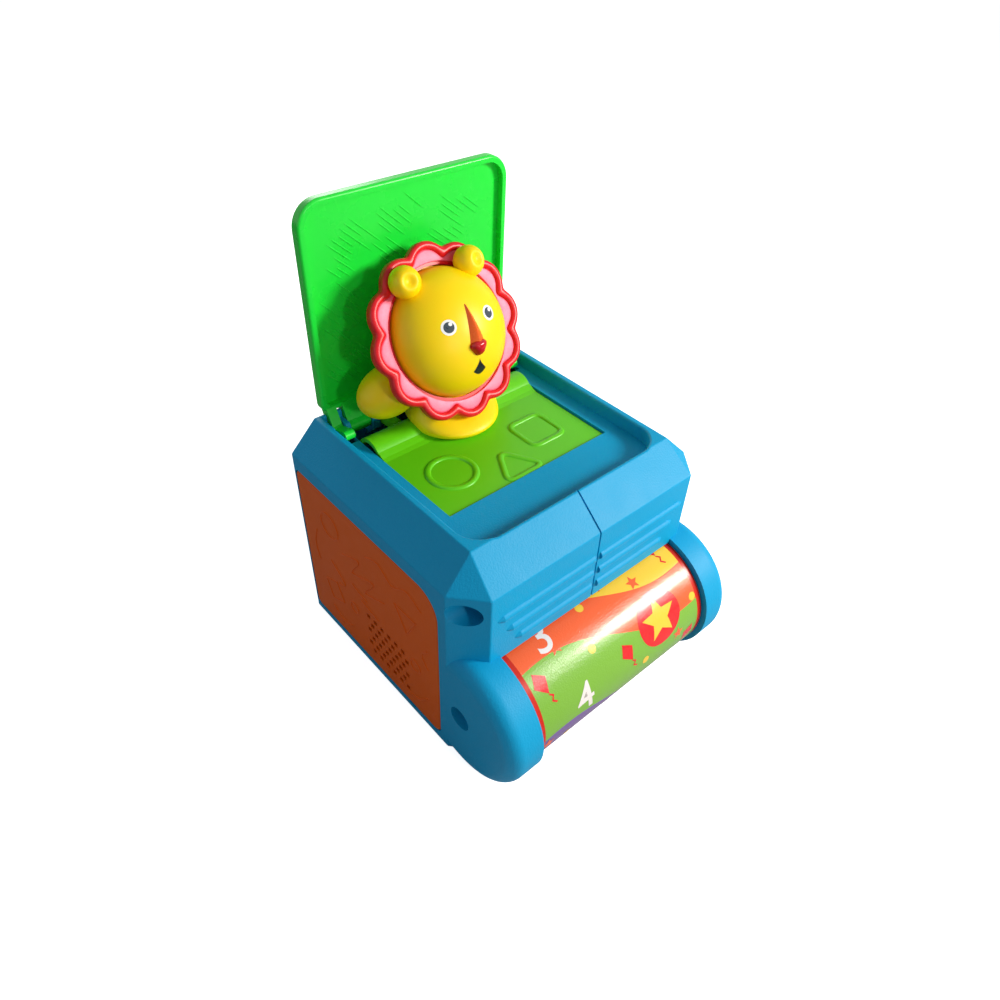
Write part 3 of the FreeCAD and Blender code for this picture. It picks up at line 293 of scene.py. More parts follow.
def printed_bands(name, shades):
    """The roller's ground: slanting bands of colour round the cylinder."""
    # Radians round the roller per metre along it, and the bands' wave on top of that
    lean, wave_rate, wave_height = 5.5, 62.0, 0.16
    material, tree, surface, place = shader(name, **FILM)
    parts = add(tree, "ShaderNodeSeparateXYZ", links={"Vector": place})
    ahead = add(tree, "ShaderNodeMath", {0: ROLLER[0] / 1000}, {1: parts.outputs["Y"]},
                operation="SUBTRACT")
    up = add(tree, "ShaderNodeMath", {1: ROLLER[1] / 1000}, {0: parts.outputs["Z"]},
             operation="SUBTRACT")
    around = add(tree, "ShaderNodeMath", links={0: up.outputs[0], 1: ahead.outputs[0]},
                 operation="ARCTAN2")
    slant = add(tree, "ShaderNodeMath", {1: lean}, {0: parts.outputs["X"]},
                operation="MULTIPLY")
    wave = add(tree, "ShaderNodeMath", {1: wave_rate}, {0: parts.outputs["X"]},
               operation="MULTIPLY")
    swell = add(tree, "ShaderNodeMath", links={0: wave.outputs[0]}, operation="SINE")
    bend = add(tree, "ShaderNodeMath", {1: wave_height},
               {0: swell.outputs[0], 2: slant.outputs[0]}, operation="MULTIPLY_ADD")
    turns = add(tree, "ShaderNodeMath", links={0: around.outputs[0], 1: bend.outputs[0]},
                operation="ADD")
    share = add(tree, "ShaderNodeMath", {1: 1 / (2 * math.pi), 2: 0.5},
                {0: turns.outputs[0]}, operation="MULTIPLY_ADD")
    looped = add(tree, "ShaderNodeMath", links={0: share.outputs[0]}, operation="FRACT")
    ramp = add(tree, "ShaderNodeValToRGB", links={"Fac": looped.outputs[0]})
    stops = ramp.color_ramp
    stops.interpolation = "CONSTANT"
    while len(stops.elements) < len(shades):
        stops.elements.new(0.5)
    for index, (start, shade) in enumerate(shades):
        stops.elements[index].position = start
        stops.elements[index].color = shade
    tree.links.new(ramp.outputs["Color"], surface.inputs["Base Color"])
    tree.links.new(rough(tree, place, *FILM_SHEEN), surface.inputs["Roughness"])
    tree.links.new(grained(tree, place, *FILM_PEEL), surface.inputs["Normal"])
    return material


def dress(node, material):
    """Gives a solid its finish and smooth shading that stops at real edges."""
    thing = NODES[node]
    thing.data.materials.clear()
    thing.data.materials.append(material)
    thing.data.shade_smooth()
    thing.data.set_sharp_from_angle(angle=CRISP)


# Meshes


def mounted(name, mesh, body, stands_for=()):
    """Puts a mesh in the scene, riding on a body."""
    thing = bpy.data.objects.new(name, mesh)
    bpy.context.scene.collection.objects.link(thing)
    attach(thing, body)
    if stands_for:
        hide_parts(*stands_for)


def piece(name, points, faces, material, body, place=Matrix.Identity(4), slot=None,
          stands_for=(), sharp=40):
    """A mesh from points in millimetres, riding on a body."""
    mesh = bpy.data.meshes.new(name)
    moved = [(place @ Vector(p)) / 1000 for p in points]
    mesh.from_pydata(moved, [], faces)
    shape = bmesh.new()
    shape.from_mesh(mesh)
    bmesh.ops.remove_doubles(shape, verts=shape.verts, dist=1e-6)
    bmesh.ops.recalc_face_normals(shape, faces=shape.faces)
    shape.to_mesh(mesh)
    shape.free()
    mesh.materials.append(material)
    mesh.shade_smooth()
    mesh.set_sharp_from_angle(angle=math.radians(sharp))
    mounted(name, mesh, body, stands_for)


def quads(rows, columns, loop_rows=False, loop_columns=False):
    """Faces of a grid of points, row after row."""
    faces = []
    for r in range(rows if loop_rows else rows - 1):
        for c in range(columns if loop_columns else columns - 1):
            a, b = r * columns, (r + 1) % rows * columns
            d = (c + 1) % columns
            faces.append((a + c, a + d, b + d, b + c))
    return faces


def joined(parts):
    """Several (points, faces) sets as one."""
    points, faces = [], []
    for more_points, more_faces in parts:
        start = len(points)
        points += more_points
        faces += [tuple(i + start for i in face) for face in more_faces]
    return points, faces


def turned(profile, steps=120):
    """A closed form turned about Y from (radius, y) points."""
    points = [(r * math.cos(a), y, r * math.sin(a)) for r, y in profile
              for a in (2 * math.pi * k / steps for k in range(steps))]
    return points, quads(len(profile), steps, loop_columns=True)


def head_place():
    """Carries the head's own frame to its place."""
    return (Matrix.Translation(Vector((0, *HEAD)))
            @ Matrix.Rotation(math.radians(-HEAD_TILT), 4, "X"))


def face_y(x, z):
    """The y of the face dome at a place in the head's frame."""
    reach = min(1.0, (x * x + z * z) / mm("face_radius") ** 2)
    return DOME_FOOT_Y - mm("face_depth") * math.sqrt(1 - reach)


def smooth_line(corners, steps=8):
    """Points of a Catmull-Rom curve through the corners."""
    line = []
    ends = [corners[0]] + list(corners) + [corners[-1]]
    for i in range(1, len(ends) - 2):
        p = [Vector(q) for q in ends[i - 1:i + 3]]
        for k in range(steps):
            t = k / steps
            line.append(0.5 * ((2 * p[1]) + (p[2] - p[0]) * t
                               + (2 * p[0] - 5 * p[1] + 4 * p[2] - p[3]) * t * t
                               + (3 * p[1] - p[0] - 3 * p[2] + p[3]) * t ** 3))
    line.append(Vector(corners[-1]))
    return line


def ridge(path, width, height, closed=False):
    """A rounded raised line along flat (a, b) points, as (a, b, rise) points."""
    count = len(path)
    section = [(-1.0, -0.3), (-0.85, 0.45), (-0.45, 0.9), (0, 1.0), (0.45, 0.9), (0.85, 0.45),
               (1.0, -0.3)]
    points = []
    for i, here in enumerate(path):
        before = path[i - 1] if closed or i else path[i]
        after = path[(i + 1) % count] if closed or i + 1 < count else path[i]
        way = Vector((after[0] - before[0], after[1] - before[1])).normalized()
        # An open ridge runs out narrow and low
        taper = 1.0 if closed or 0 < i < count - 1 else 0.35
        for across, rise in section:
            points.append((here[0] - way.y * across * width / 2 * taper,
                           here[1] + way.x * across * width / 2 * taper,
                           height * (rise if taper == 1 else min(rise, 0.2))))
    faces = quads(count, len(section), loop_rows=closed)
    if not closed:
        faces.append(tuple(range(len(section))))
        faces.append(tuple(len(points) - 1 - k for k in range(len(section))))
    return points, faces


# The lion


def scallop(angle, inset, core, count=12, blend=0.95):
    """Distance to the mane's outline, set in from its lobes but never inside a core."""
    step = 2 * math.pi / count
    across = abs((angle + step / 2) % step - step / 2)
    reaches = [core]
    centre = mm("mane_radius") - mm("lobe_radius")
    radius = mm("lobe_radius") - inset
    for turn in (across, step - across):
        inside = radius ** 2 - (centre * math.sin(turn)) ** 2
        if inside > 0:
            reaches.append(centre * math.cos(turn) + math.sqrt(inside))
    # A soft maximum, so that the notches between lobes are rounded
    top = max(reaches)
    return top + math.log(sum(math.exp(blend * (r - top)) for r in reaches)) / blend


def scalloped_ring(sections, steps=480):
    """A closed ring whose sections are (inset, core, y); an inset of None is a plain circle."""
    points = []
    for inset, core, y in sections:
        for k in range(steps):
            a = 2 * math.pi * k / steps
            r = core if inset is None else scallop(a, inset, core)
            points.append((r * math.cos(a), y, r * math.sin(a)))
    return points, quads(len(sections), steps, loop_rows=True, loop_columns=True)


def lifted(flat, lift):
    """Flat (x, z) points laid just over the face dome."""
    return [(x, face_y(x, z) - lift, z) for x, z in flat]


def disc(cx, cz, radius, lift, rings=5, steps=40):
    """A round patch on the face dome."""
    flat = [(cx, cz)]
    for ring in range(1, rings + 1):
        for k in range(steps):
            a = 2 * math.pi * k / steps
            flat.append((cx + radius * ring / rings * math.cos(a),
                         cz + radius * ring / rings * math.sin(a)))
    faces = [(0, 1 + k, 1 + (k + 1) % steps) for k in range(steps)]
    faces += [tuple(i + 1 for i in face)
              for face in quads(rings, steps, loop_columns=True)]
    return lifted(flat, lift), faces


class TOY_OT_head(bpy.types.Operator):
    """Face, nape and ears of the figure"""
    bl_idname = "toy.head"
    bl_label = "Head"

    def execute(self, context):
        shade = colours()
        vinyl = soft_vinyl("Head, rotomoulded vinyl", shade.lion)
        radius, depth = mm("face_radius"), mm("face_depth")
        # Radii stop just short of nought, which keeps a tiny ring at each pole
        least = 0.01
        arc = [math.pi / 2 * k / 40 for k in range(41)]
        dome = [(least, HEAD_SEAM_Y), (radius, HEAD_SEAM_Y)]
        dome += [(max(least, radius * math.cos(a)), DOME_FOOT_Y - depth * math.sin(a))
                 for a in arc]
        piece("face_dome", *turned(dome), vinyl, "figure", head_place(),
              slot="yellow_lion", stands_for=["face_shell"])
        radius, depth = mm("nape_radius"), mm("nape_depth")
        front = HEAD_SEAM_Y - 0.2
        back = [(least, front), (radius, front)]
        back += [(max(least, radius * math.cos(a)), HEAD_SEAM_Y + depth * math.sin(a))
                 for a in arc]
        piece("nape_dome", *turned(back), vinyl, "figure", head_place(),
              slot="yellow_lion", stands_for=["nape_shell"])
        # A ball with a saucer pressed into its front
        ball = mm("ear_radius")
        saucer, pressed = 0.62 * ball, 2.1
        ear = []
        for k in range(49):
            a = math.pi * k / 48
            r, y = ball * math.sin(a), -ball * math.cos(a)
            if r < saucer and y < 0:
                y += pressed * (0.5 + 0.5 * math.cos(math.pi * r / saucer))
            ear.append((max(least, r), y))
        points, faces = turned(ear, 64)
        both = []
        for side in (-1, 1):
            lean = Matrix.Rotation(math.radians(side * 10), 4, "Z")
            spot = Matrix.Translation(Vector((side * EAR[0], *EAR[1:]))) @ lean
            both.append(([tuple(spot @ Vector(p)) for p in points], faces))
        piece("ear_pair", *joined(both), vinyl, "figure", head_place(),
              slot="yellow_lion", stands_for=["ears"])
        return {"FINISHED"}


class TOY_OT_mane(bpy.types.Operator):
    """Red scalloped rim and the pearl inlay inside it"""
    bl_idname = "toy.mane"
    bl_label = "Mane"

    def execute(self, context):
        shade = colours()
        bead = mm("mane_bead")
        bore, core, inner_core, crown = 26.5, 31.8, 29.0, 1.5
        sections = [(None, bore, HEAD_SEAM_Y), (1.2, 31.0, HEAD_SEAM_Y), (0.35, 31.6, 1.9),
                    (0.0, core, 1.0), (0.0, core, MANE_FRONT_Y)]
        for k in range(1, 12):
            a = math.pi * k / 12
            inset = bead / 2 * (1 - math.cos(a))
            sections.append((inset, core - 2.7 * inset / bead,
                             MANE_FRONT_Y - crown * math.sin(a)))
        sections += [(bead, inner_core, MANE_FRONT_Y), (bead, inner_core, -0.4),
                     (None, bore, -0.4)]
        red = glossy_pp("Mane, injected polypropylene", shade.mane, 0.3, 0.4)
        piece("mane_rim", *scalloped_ring(sections), red, "figure", head_place(),
              slot="red_mane", stands_for=["mane"])
        # The inlay has a flat face and rounded rims
        edge, inlay_bore = bead - 0.1, 27.7
        sections = [(None, inlay_bore, 0.4), (edge, 29.1, 0.4), (edge, 29.1, -1.05),
                    (edge + 0.15, 29.0, -1.3), (edge + 0.4, 28.9, -1.42),
                    (edge + 0.7, 28.8, -1.45), (None, 28.1, -1.45), (None, 27.9, -1.4),
                    (None, inlay_bore, -1.1)]
        pearl = pearl_pp("Mane inlay, pearl polypropylene", shade.inlay)
        piece("mane_inlay", *scalloped_ring(sections), pearl, "figure", head_place(),
              slot="pink_insert", stands_for=["mane_insert"])
        return {"FINISHED"}


class TOY_OT_muzzle(bpy.types.Operator):
    """Nose bridge, nose tip, printed eyes and printed mouth"""
    bl_idname = "toy.muzzle"
    bl_label = "Muzzle and eyes"

    def execute(self, context):
        shade = colours()
        # The ridge widens and rises from between the eyes down to the nose tip
        points, rows, columns, ridge_top, ridge_length, bedded = [], 25, 17, 9.4, 15.6, 0.12
        for row in range(rows):
            t = row / (rows - 1)
            z = ridge_top - ridge_length * t
            half = 0.3 + 3.3 * t ** 0.9
            height = 0.5 + 1.9 * t ** 0.7
            for column in range(columns):
                s = 2 * column / (columns - 1) - 1
                rise = height * (1 - abs(s) ** 1.25)
                points.append((s * half, face_y(s * half, z) - rise + bedded, z))
        faces = quads(rows, columns)
        rim = (list(range(columns))
               + [r * columns + columns - 1 for r in range(1, rows)]
               + [(rows - 1) * columns + c for c in range(columns - 2, -1, -1)]
               + [r * columns for r in range(rows - 2, 0, -1)])
        foot = len(points)
        points += [(points[i][0], points[i][1] + 1.0, points[i][2]) for i in rim]
        ring = len(rim)
        faces += [(rim[k], rim[(k + 1) % ring], foot + (k + 1) % ring, foot + k)
                  for k in range(ring)]
        faces.append(tuple(foot + k for k in range(ring)))
        bridge = glossy_pp("Nose bridge, polypropylene", shade.bridge)
        piece("nose_ridge", points, faces, bridge, "figure", head_place(),
              slot="orange_bridge", stands_for=["nose_bridge"])
        # A three-cornered pad, widest at the top, swollen like a cushion
        steps, rings, height = 72, 12, 3.1
        points = [(0, face_y(0, NOSE_TIP_Z) - height, NOSE_TIP_Z)]
        for ring in range(1, rings + 2):
            share = min(1.0, ring / rings)
            for k in range(steps):
                a = 2 * math.pi * k / steps
                swell = 3.6 + 0.5 * math.cos(3 * (a + math.pi / 2))
                x = swell * share * math.cos(a)
                z = NOSE_TIP_Z + swell * share * math.sin(a) * 0.84
                rise = height * (1 - share ** 2.6) ** 0.55
                sunk = 1.2 if ring > rings else 0.0
                points.append((x, face_y(x, z) - rise + sunk, z))
        faces = [(0, 1 + k, 1 + (k + 1) % steps) for k in range(steps)]
        faces += [tuple(i + 1 for i in face)
                  for face in quads(rings + 1, steps, loop_columns=True)]
        faces.append(tuple(1 + rings * steps + k for k in range(steps)))
        tip = glossy_pp("Nose tip, glossy polypropylene", shade.nose, 0.12, 0.2)
        piece("nose_pad", points, faces, tip, "figure", head_place(), slot="red_nose",
              stands_for=["nose_tip"])
        white = pad_ink("Eye white, pad print", "#F2F3F3")
        dark = pad_ink("Pupil, pad print", "#2E3C47")
        black = pad_ink("Mouth, pad print", "#0E0D0D")
        eye = mm("eye_radius")
        for side, label in ((-1, "left"), (1, "right")):
            x, z = side * EYE[0], EYE[1]
            piece("eye_white_" + label, *disc(x, z, eye, 0.05), white, "figure", head_place())
            piece("pupil_" + label, *disc(x, z, eye * 0.7, 0.09), dark, "figure", head_place())
            piece("glint_" + label, *disc(x + 0.9, z + 1.05, 0.75, 0.13), white, "figure",
                  head_place())
        # A curved wedge: point on top, sides drawn in, foot bowed
        flat, count, half_width, height, bow = [], 13, 3.1, 4.6, 1.7
        for row in range(count):
            t = row / (count - 1)
            half = half_width * (1 - t) ** 1.6 + 0.02
            for column in range(count):
                s = 2 * column / (count - 1) - 1
                flat.append((s * half, MOUTH_Z + height * t
                             - bow * (1 - t) * math.cos(math.pi / 2 * s)))
        faces = quads(count, count)
        piece("mouth", lifted(flat, 0.06), faces, black, "figure", head_place())
        return {"FINISHED"}


class TOY_OT_torso(bpy.types.Operator):
    """Belly and arms of the figure"""
    bl_idname = "toy.torso"
    bl_label = "Belly and arms"

    def execute(self, context):
        vinyl = soft_vinyl("Belly, rotomoulded vinyl", colours().lion)
        line = smooth_line([(14.5, 98.62), (17.8, 98.8), (19.9, 100.6), (20.5, 103.6),
                            (19.5, 107.6), (15.5, 116.6), (11.0, 125.6), (0.5, 129.6)], 12)
        points, steps, chin_rise, drawn_in, foot_lift = [], 160, 8.5, 0.42, 4.9
        for r, z in line:
            for k in range(steps):
                a = 2 * math.pi * k / steps
                x, y = r * math.cos(a), TORSO_Y + r * math.sin(a)
                # The chest draws back under the chin
                t = max(0.0, min(1.0, (z - CHEST_Z) / chin_rise))
                if y < TORSO_Y:
                    y = TORSO_Y - (TORSO_Y - y) * (1 - drawn_in * t * t * (3 - 2 * t))
                # The foot's rear half is lifted over the knuckles
                lift = min(1.0, max(0.0, (y - TORSO_Y - 0.5) / 1.5))
                points.append((x, y, max(z, FLAP_TOP_Z + foot_lift * lift)))
        faces = quads(len(line), steps, loop_columns=True)
        faces.append(tuple(range(steps)))
        faces.append(tuple(len(points) - 1 - k for k in range(steps)))
        piece("belly", points, faces, vinyl, "figure", slot="yellow_lion",
              stands_for=["torso"], sharp=50)
        arc = [math.pi * k / 40 for k in range(41)]
        points, faces = turned([(max(0.01, mm("arm_radius") * math.sin(a)),
                                 -mm("arm_half") * math.cos(a)) for a in arc], 64)
        along = Matrix.Rotation(math.radians(90), 4, "Z")
        both = []
        for side in (-1, 1):
            droop = Matrix.Rotation(math.radians(side * ARM_DROOP), 4, "Y")
            spot = Matrix.Translation(Vector((side * ARM[0], *ARM[1:]))) @ droop @ along
            both.append(([tuple(spot @ Vector(p)) for p in points], faces))
        piece("arm_pair", *joined(both), vinyl, "figure", slot="yellow_lion",
              stands_for=["arms"])
        return {"FINISHED"}


# Reliefs


def onto_lid(points):
    """(across, up, rise) to the lid's inner floor, which faces -Y."""
    return [(a, LID_FLOOR_Y - h, b) for a, b, h in points]


def levelled(node, name, body, axis, level, inside):
    """A copy of a solid whose low relief is pressed level along an axis."""
    mesh = NODES[node].data.copy()
    mesh.name = name
    shape = bmesh.new()
    shape.from_mesh(mesh)
    for v in shape.verts:
        if inside(*(v.co * 1000)):
            v.co[axis] = level / 1000
    # What was pressed level melts into the flat face round it
    bmesh.ops.dissolve_degenerate(shape, edges=shape.edges, dist=1e-6)
    bmesh.ops.dissolve_limit(shape, edges=shape.edges, verts=shape.verts,
                             angle_limit=math.radians(0.2))
    bmesh.ops.triangulate(shape, faces=shape.faces)
    shape.to_mesh(mesh)
    shape.free()
    mesh.shade_smooth()
    mesh.set_sharp_from_angle(angle=CRISP)
    mounted(name, mesh, body, [node])


def polygon(cx, cz, radius, corners, turn=0.0, steps=6):
    """The outline of a regular polygon with its sides broken into short pieces."""
    marks = [(cx + radius * math.cos(turn + 2 * math.pi * k / corners),
              cz + radius * math.sin(turn + 2 * math.pi * k / corners))
             for k in range(corners)]
    line = []
    for k, (ax, az) in enumerate(marks):
        bx, bz = marks[(k + 1) % corners]
        line += [(ax + (bx - ax) * s / steps, az + (bz - az) * s / steps)
                 for s in range(steps)]
    return line


def rounded(corners, reach, steps=8):
    """A closed outline whose corners are rounded, starting a reach away from each."""
    line = []
    for k, here in enumerate(corners):
        here = Vector(here)
        before = Vector(corners[k - 1])
        after = Vector(corners[(k + 1) % len(corners)])
        start = here + (before - here).normalized() * reach
        end = here + (after - here).normalized() * reach
        for t in (i / steps for i in range(steps + 1)):
            line.append(tuple(start * (1 - t) ** 2 + here * 2 * t * (1 - t) + end * t * t))
    return line


class TOY_OT_flap_outlines(bpy.types.Operator):
    """Flap with a rounded ring, triangle and square raised on it"""
    bl_idname = "toy.flap_outlines"
    bl_label = "Flap outlines"

    def execute(self, context):
        hump_y, relief = 15.0, 0.8
        levelled("trap_flap", "flap_shell", "figure", 2, FLAP_TOP_Z,
                 lambda x, y, z: y < hump_y and FLAP_TOP_Z < z < FLAP_TOP_Z + relief)
        circle = polygon(-24.5, 1.0, 9.75, 64, steps=1)
        triangle = rounded(polygon(-1.6, -12.2, 11.4, 3, math.pi / 2, 1), 5.0)
        square = rounded(polygon(21.5, 1.2, 12.2, 4, math.pi / 4, 1), 4.0)
        width, height = 2.8, 0.62
        points, faces = joined([ridge(mark, width, height, closed=True)
                                for mark in (circle, triangle, square)])
        placed = [(a, b, FLAP_TOP_Z + h) for a, b, h in points]
        green = bpy.data.materials["Flap, injected polypropylene"]
        piece("flap_rings", placed, faces, green, "figure", slot="green_flap")
        return {"FINISHED"}


class TOY_OT_lid_hatching(bpy.types.Operator):
    """Lid with fine slanting strokes moulded into its inside"""
    bl_idname = "toy.lid_hatching"
    bl_label = "Lid hatching"

    def execute(self, context):
        half_across, foot, top, relief = 45, 111, 190, 0.8
        levelled("lid", "lid_shell", "lid_body", 1, LID_FLOOR_Y,
                 lambda x, y, z: (abs(x) < half_across and foot < z < top
                                  and LID_FLOOR_Y - relief < y < LID_FLOOR_Y))
        # Each patch has its slope in degrees, its middle and its number of strokes
        patches = [(42, (-26, 171), 9), (42, (-4, 178), 11), (38, (22, 170), 11),
                   (47, (-33, 146), 9), (40, (32, 143), 9), (44, (-6, 158), 8),
                   (40, (8, 138), 8), (46, (-30, 123), 8), (41, (30, 120), 8)]
        pitch, width, height = 2.5, mm("stroke") * 0.75, 0.22
        rng = random.Random(7)
        strokes = []
        for slope, centre, count in patches:
            way = Vector((math.cos(math.radians(slope)), -math.sin(math.radians(slope))))
            side = Vector((-way.y, way.x))
            for k in range(count):
                mid = Vector(centre) + side * (k - count / 2) * pitch
                mid += way * rng.uniform(-5, 5)
                half = rng.uniform(3.5, 10)
                path = [mid + way * half * t for t in (-1, -0.6, 0, 0.6, 1)]
                if all(abs(p.x) < half_across - 0.5 and foot - 1 < p.y < top - 2
                       for p in path):
                    points, faces = ridge([tuple(p) for p in path], width, height)
                    strokes.append((onto_lid(points), faces))
        green = bpy.data.materials["Lid, injected polypropylene"]
        piece("lid_strokes", *joined(strokes), green, "lid_body", slot="green_lid")
        return {"FINISHED"}


class TOY_OT_panel_relief(bpy.types.Operator):
    """Low raised shapes and strokes on both side panels"""
    bl_idname = "toy.panel_relief"
    bl_label = "Panel relief"

    def execute(self, context):
        width, rise = mm("stroke"), mm("panel_rise")
        # Flat places are (y, z) on the panel
        outlines = [polygon(33, 70, 6.5, 36), polygon(-20, 58, 8, 3, 0.5),
                    polygon(36, 28, 7.5, 4, 0.35), polygon(-25, 34, 3.2, 24),
                    polygon(20, 30, 3.0, 24)]
        lines = [smooth_line(c) for c in (
            [(26, 59), (12, 65), (18, 54), (2, 60), (9, 49), (-6, 55)],
            [(20, 46), (8, 43)], [(14, 41), (0, 38.5)], [(36, 48), (26, 40), (32, 36)],
            [(-31, 72), (-22, 76), (-12, 71), (-3, 76), (7, 72)],
            [(-34, 52), (-30, 46), (-34, 40)], [(-33, 20), (-27, 13), (-18, 10)],
            [(24, 14), (32, 11), (40, 15)], [(45, 60), (48, 50), (46, 40)])]
        orange = bpy.data.materials["Side panel, injected ABS"]
        for side, label in ((-1, "left"), (1, "right")):
            marks = []
            for path in outlines:
                marks.append(ridge(path, width, rise, closed=True))
            for path in lines:
                marks.append(ridge([tuple(p) for p in path], width, rise))
            points, faces = joined(marks)
            # Both panels come from one drawing, seen from outside
            placed = [(side * (PANEL_X + h), a, b) for a, b, h in points]
            piece("panel_relief_" + label, placed, faces, orange, "body",
                  slot="orange_panel")
        return {"FINISHED"}


# The roller's print


def flat_face(outline):
    """A closed outline as one flat face, ready to be wrapped."""
    shape = bmesh.new()
    shape.faces.new([shape.verts.new((x, y, 0)) for x, y in outline])
    return shape


def star(cx, cy, outer, inner, points=5):
    """A star round a place that is given along and round the roller."""
    turns = [math.pi / 2 + math.pi * k / points for k in range(2 * points)]
    return flat_face([(cx + (outer, inner)[k % 2] * math.cos(a),
                       cy + (outer, inner)[k % 2] * math.sin(a))
                      for k, a in enumerate(turns)])


def dot(cx, cy, radius, steps=48):
    """A round spot."""
    turns = [2 * math.pi * k / steps for k in range(steps)]
    return flat_face([(cx + radius * math.cos(a), cy + radius * math.sin(a))
                      for a in turns])


def kite(cx, cy, turn):
    """A kite and its crooked tail, turned round its place."""
    c, s = math.cos(turn), math.sin(turn)
    sail = [(0, 6), (3.6, 1.4), (0, -4.4), (-3.6, 1.4)]
    tail = [(0, -4.4), (1.4, -6.2), (-0.2, -7.6), (1.0, -9.4), (0.3, -9.7), (-1.2, -7.6),
            (0.4, -6.2), (-0.6, -4.6)]
    return [flat_face([(cx + a * c - b * s, cy + a * s + b * c) for a, b in corners])
            for corners in (sail, tail)]


def numeral(text, cx, cy, lean):
    """A plain heavy numeral as flat faces."""
    height, share_of_em, swelling = mm("numeral"), 0.72, 0.008
    curve = bpy.data.curves.new("numeral_" + text, "FONT")
    curve.body = text
    curve.size = height / share_of_em
    curve.offset = height * swelling
    curve.align_x = "CENTER"
    curve.resolution_u = 8
    thing = bpy.data.objects.new("numeral_" + text, curve)
    bpy.context.scene.collection.objects.link(thing)
    bpy.context.view_layer.update()
    mesh = bpy.data.meshes.new_from_object(thing)
    bpy.data.objects.remove(thing)
    bpy.data.curves.remove(curve)
    shape = bmesh.new()
    shape.from_mesh(mesh)
    bpy.data.meshes.remove(mesh)
    bmesh.ops.remove_doubles(shape, verts=shape.verts, dist=0.01)
    turn = Matrix.Rotation(lean, 4, "Z")
    for v in shape.verts:
        v.co = turn @ (v.co - Vector((0, height / 2, 0))) + Vector((cx, cy, 0))
    return shape


def wrapped(name, shapes, ink, lift):
    """Flat faces cut into strips and laid round the roller."""
    mesh = bpy.data.meshes.new(name)
    whole = bmesh.new()
    for shape in shapes:
        part = bpy.data.meshes.new("part")
        shape.to_mesh(part)
        shape.free()
        whole.from_mesh(part)
        bpy.data.meshes.remove(part)
    strip = 0.8
    cut = min(v.co.y for v in whole.verts) + strip
    end = max(v.co.y for v in whole.verts)
    while cut < end:
        bmesh.ops.bisect_plane(whole, geom=whole.verts[:] + whole.edges[:] + whole.faces[:],
                               plane_co=(0, cut, 0), plane_no=(0, 1, 0), dist=1e-4)
        cut += strip
    bmesh.ops.triangulate(whole, faces=whole.faces)
    radius = mm("roller_radius")
    reach = radius + lift
    for v in whole.verts:
        a = v.co.y / radius
        v.co = Vector((v.co.x, ROLLER[0] - reach * math.cos(a),
                       ROLLER[1] + reach * math.sin(a))) / 1000
    bmesh.ops.recalc_face_normals(whole, faces=whole.faces)
    for face in whole.faces:
        middle = face.calc_center_median() * 1000
        out = Vector((0, middle.y - ROLLER[0], middle.z - ROLLER[1]))
        if face.normal.dot(out) < 0:
            face.normal_flip()
    whole.to_mesh(mesh)
    whole.free()
    mesh.materials.append(ink)
    mesh.shade_smooth()
    mounted(name, mesh, "roller")


class TOY_OT_roller_print(bpy.types.Operator):
    """Numerals, stars, discs and kites printed round the roller"""
    bl_idname = "toy.roller_print"
    bl_label = "Roller print"

    def execute(self, context):
        shade = colours()
        red = printed_ink("Red ink under film", shade.print_red)
        orange = printed_ink("Orange ink under film", shade.print_orange)
        yellow = printed_ink("Yellow ink under film", shade.print_yellow)
        white = printed_ink("White ink under film", shade.print_white)
        # Places are millimetres along the roller and round it, from its foremost line
        big = [(23, 17), (-20, -44), (24, 70), (-14, 88)]
        wrapped("print_discs", [dot(x, y, 12.5) for x, y in big], red, LOW_INK)
        wrapped("print_big_stars", [star(x, y, 10, 4.6) for x, y in big], yellow, TOP_INK)
        kites = [(2, 12, 0.4), (40, -3, -0.5), (-41, 24, 0.3), (-4, -30, 0.5), (36, -48, 0.2),
                 (8, 50, -0.4), (-38, 62, 0.4), (38, 44, 0.2), (4, 78, 0.5), (-40, -18, -0.2)]
        wrapped("print_kites", [part for k in kites for part in kite(*k)], red, LOW_INK)
        small = [(-8, -12), (12, -20), (33, 3), (-28, 33), (-44, -4), (20, 36), (-20, 68),
                 (40, 84), (-2, -54), (42, -32), (-43, 44), (-34, -66)]
        wrapped("print_small_stars", [star(x, y, 3.4, 1.5) for x, y in small], orange,
                LOW_INK)
        dots = [(12, 2), (-33, -8), (-14, 24), (30, -14), (8, -40), (-30, 50), (16, 60),
                (28, 56), (-8, 40), (44, 16), (-44, 78), (30, -66)]
        wrapped("print_dots", [dot(x, y, 1.9, 24) for x, y in dots], yellow, LOW_INK)
        numbers = [("4", -24, 8, 0.1), ("5", 20, -28, -0.12), ("6", 8, -66, 0.1),
                   ("1", -26, -78, -0.1), ("2", -4, 62, 0.12), ("3", -30, 40, -0.1)]
        wrapped("print_numerals", [numeral(*n) for n in numbers], white, MIDDLE_INK)
        return {"FINISHED"}


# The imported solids


class TOY_OT_housing(bpy.types.Operator):
    """Finish of the housing, side panels, lid, flap and knob"""
    bl_idname = "toy.housing"
    bl_label = "Housing"

    def execute(self, context):
        shade = colours()
        shell = fine_textured("Housing, spark-textured ABS", shade.housing)
        for node in ("housing_left", "housing_right", "battery_door"):
            dress(node, shell)
        panel = fine_textured("Side panel, injected ABS", shade.panel)
        for node in ("side_panel_left", "side_panel_right", "power_knob"):
            dress(node, panel)
        dress("lid", glossy_pp("Lid, injected polypropylene", shade.lid))
        dress("trap_flap", glossy_pp("Flap, injected polypropylene", shade.flap, 0.3, 0.4))
        dress("battery_tray", fine_textured("Battery tray, black ABS", linear("#22262A")))
        return {"FINISHED"}


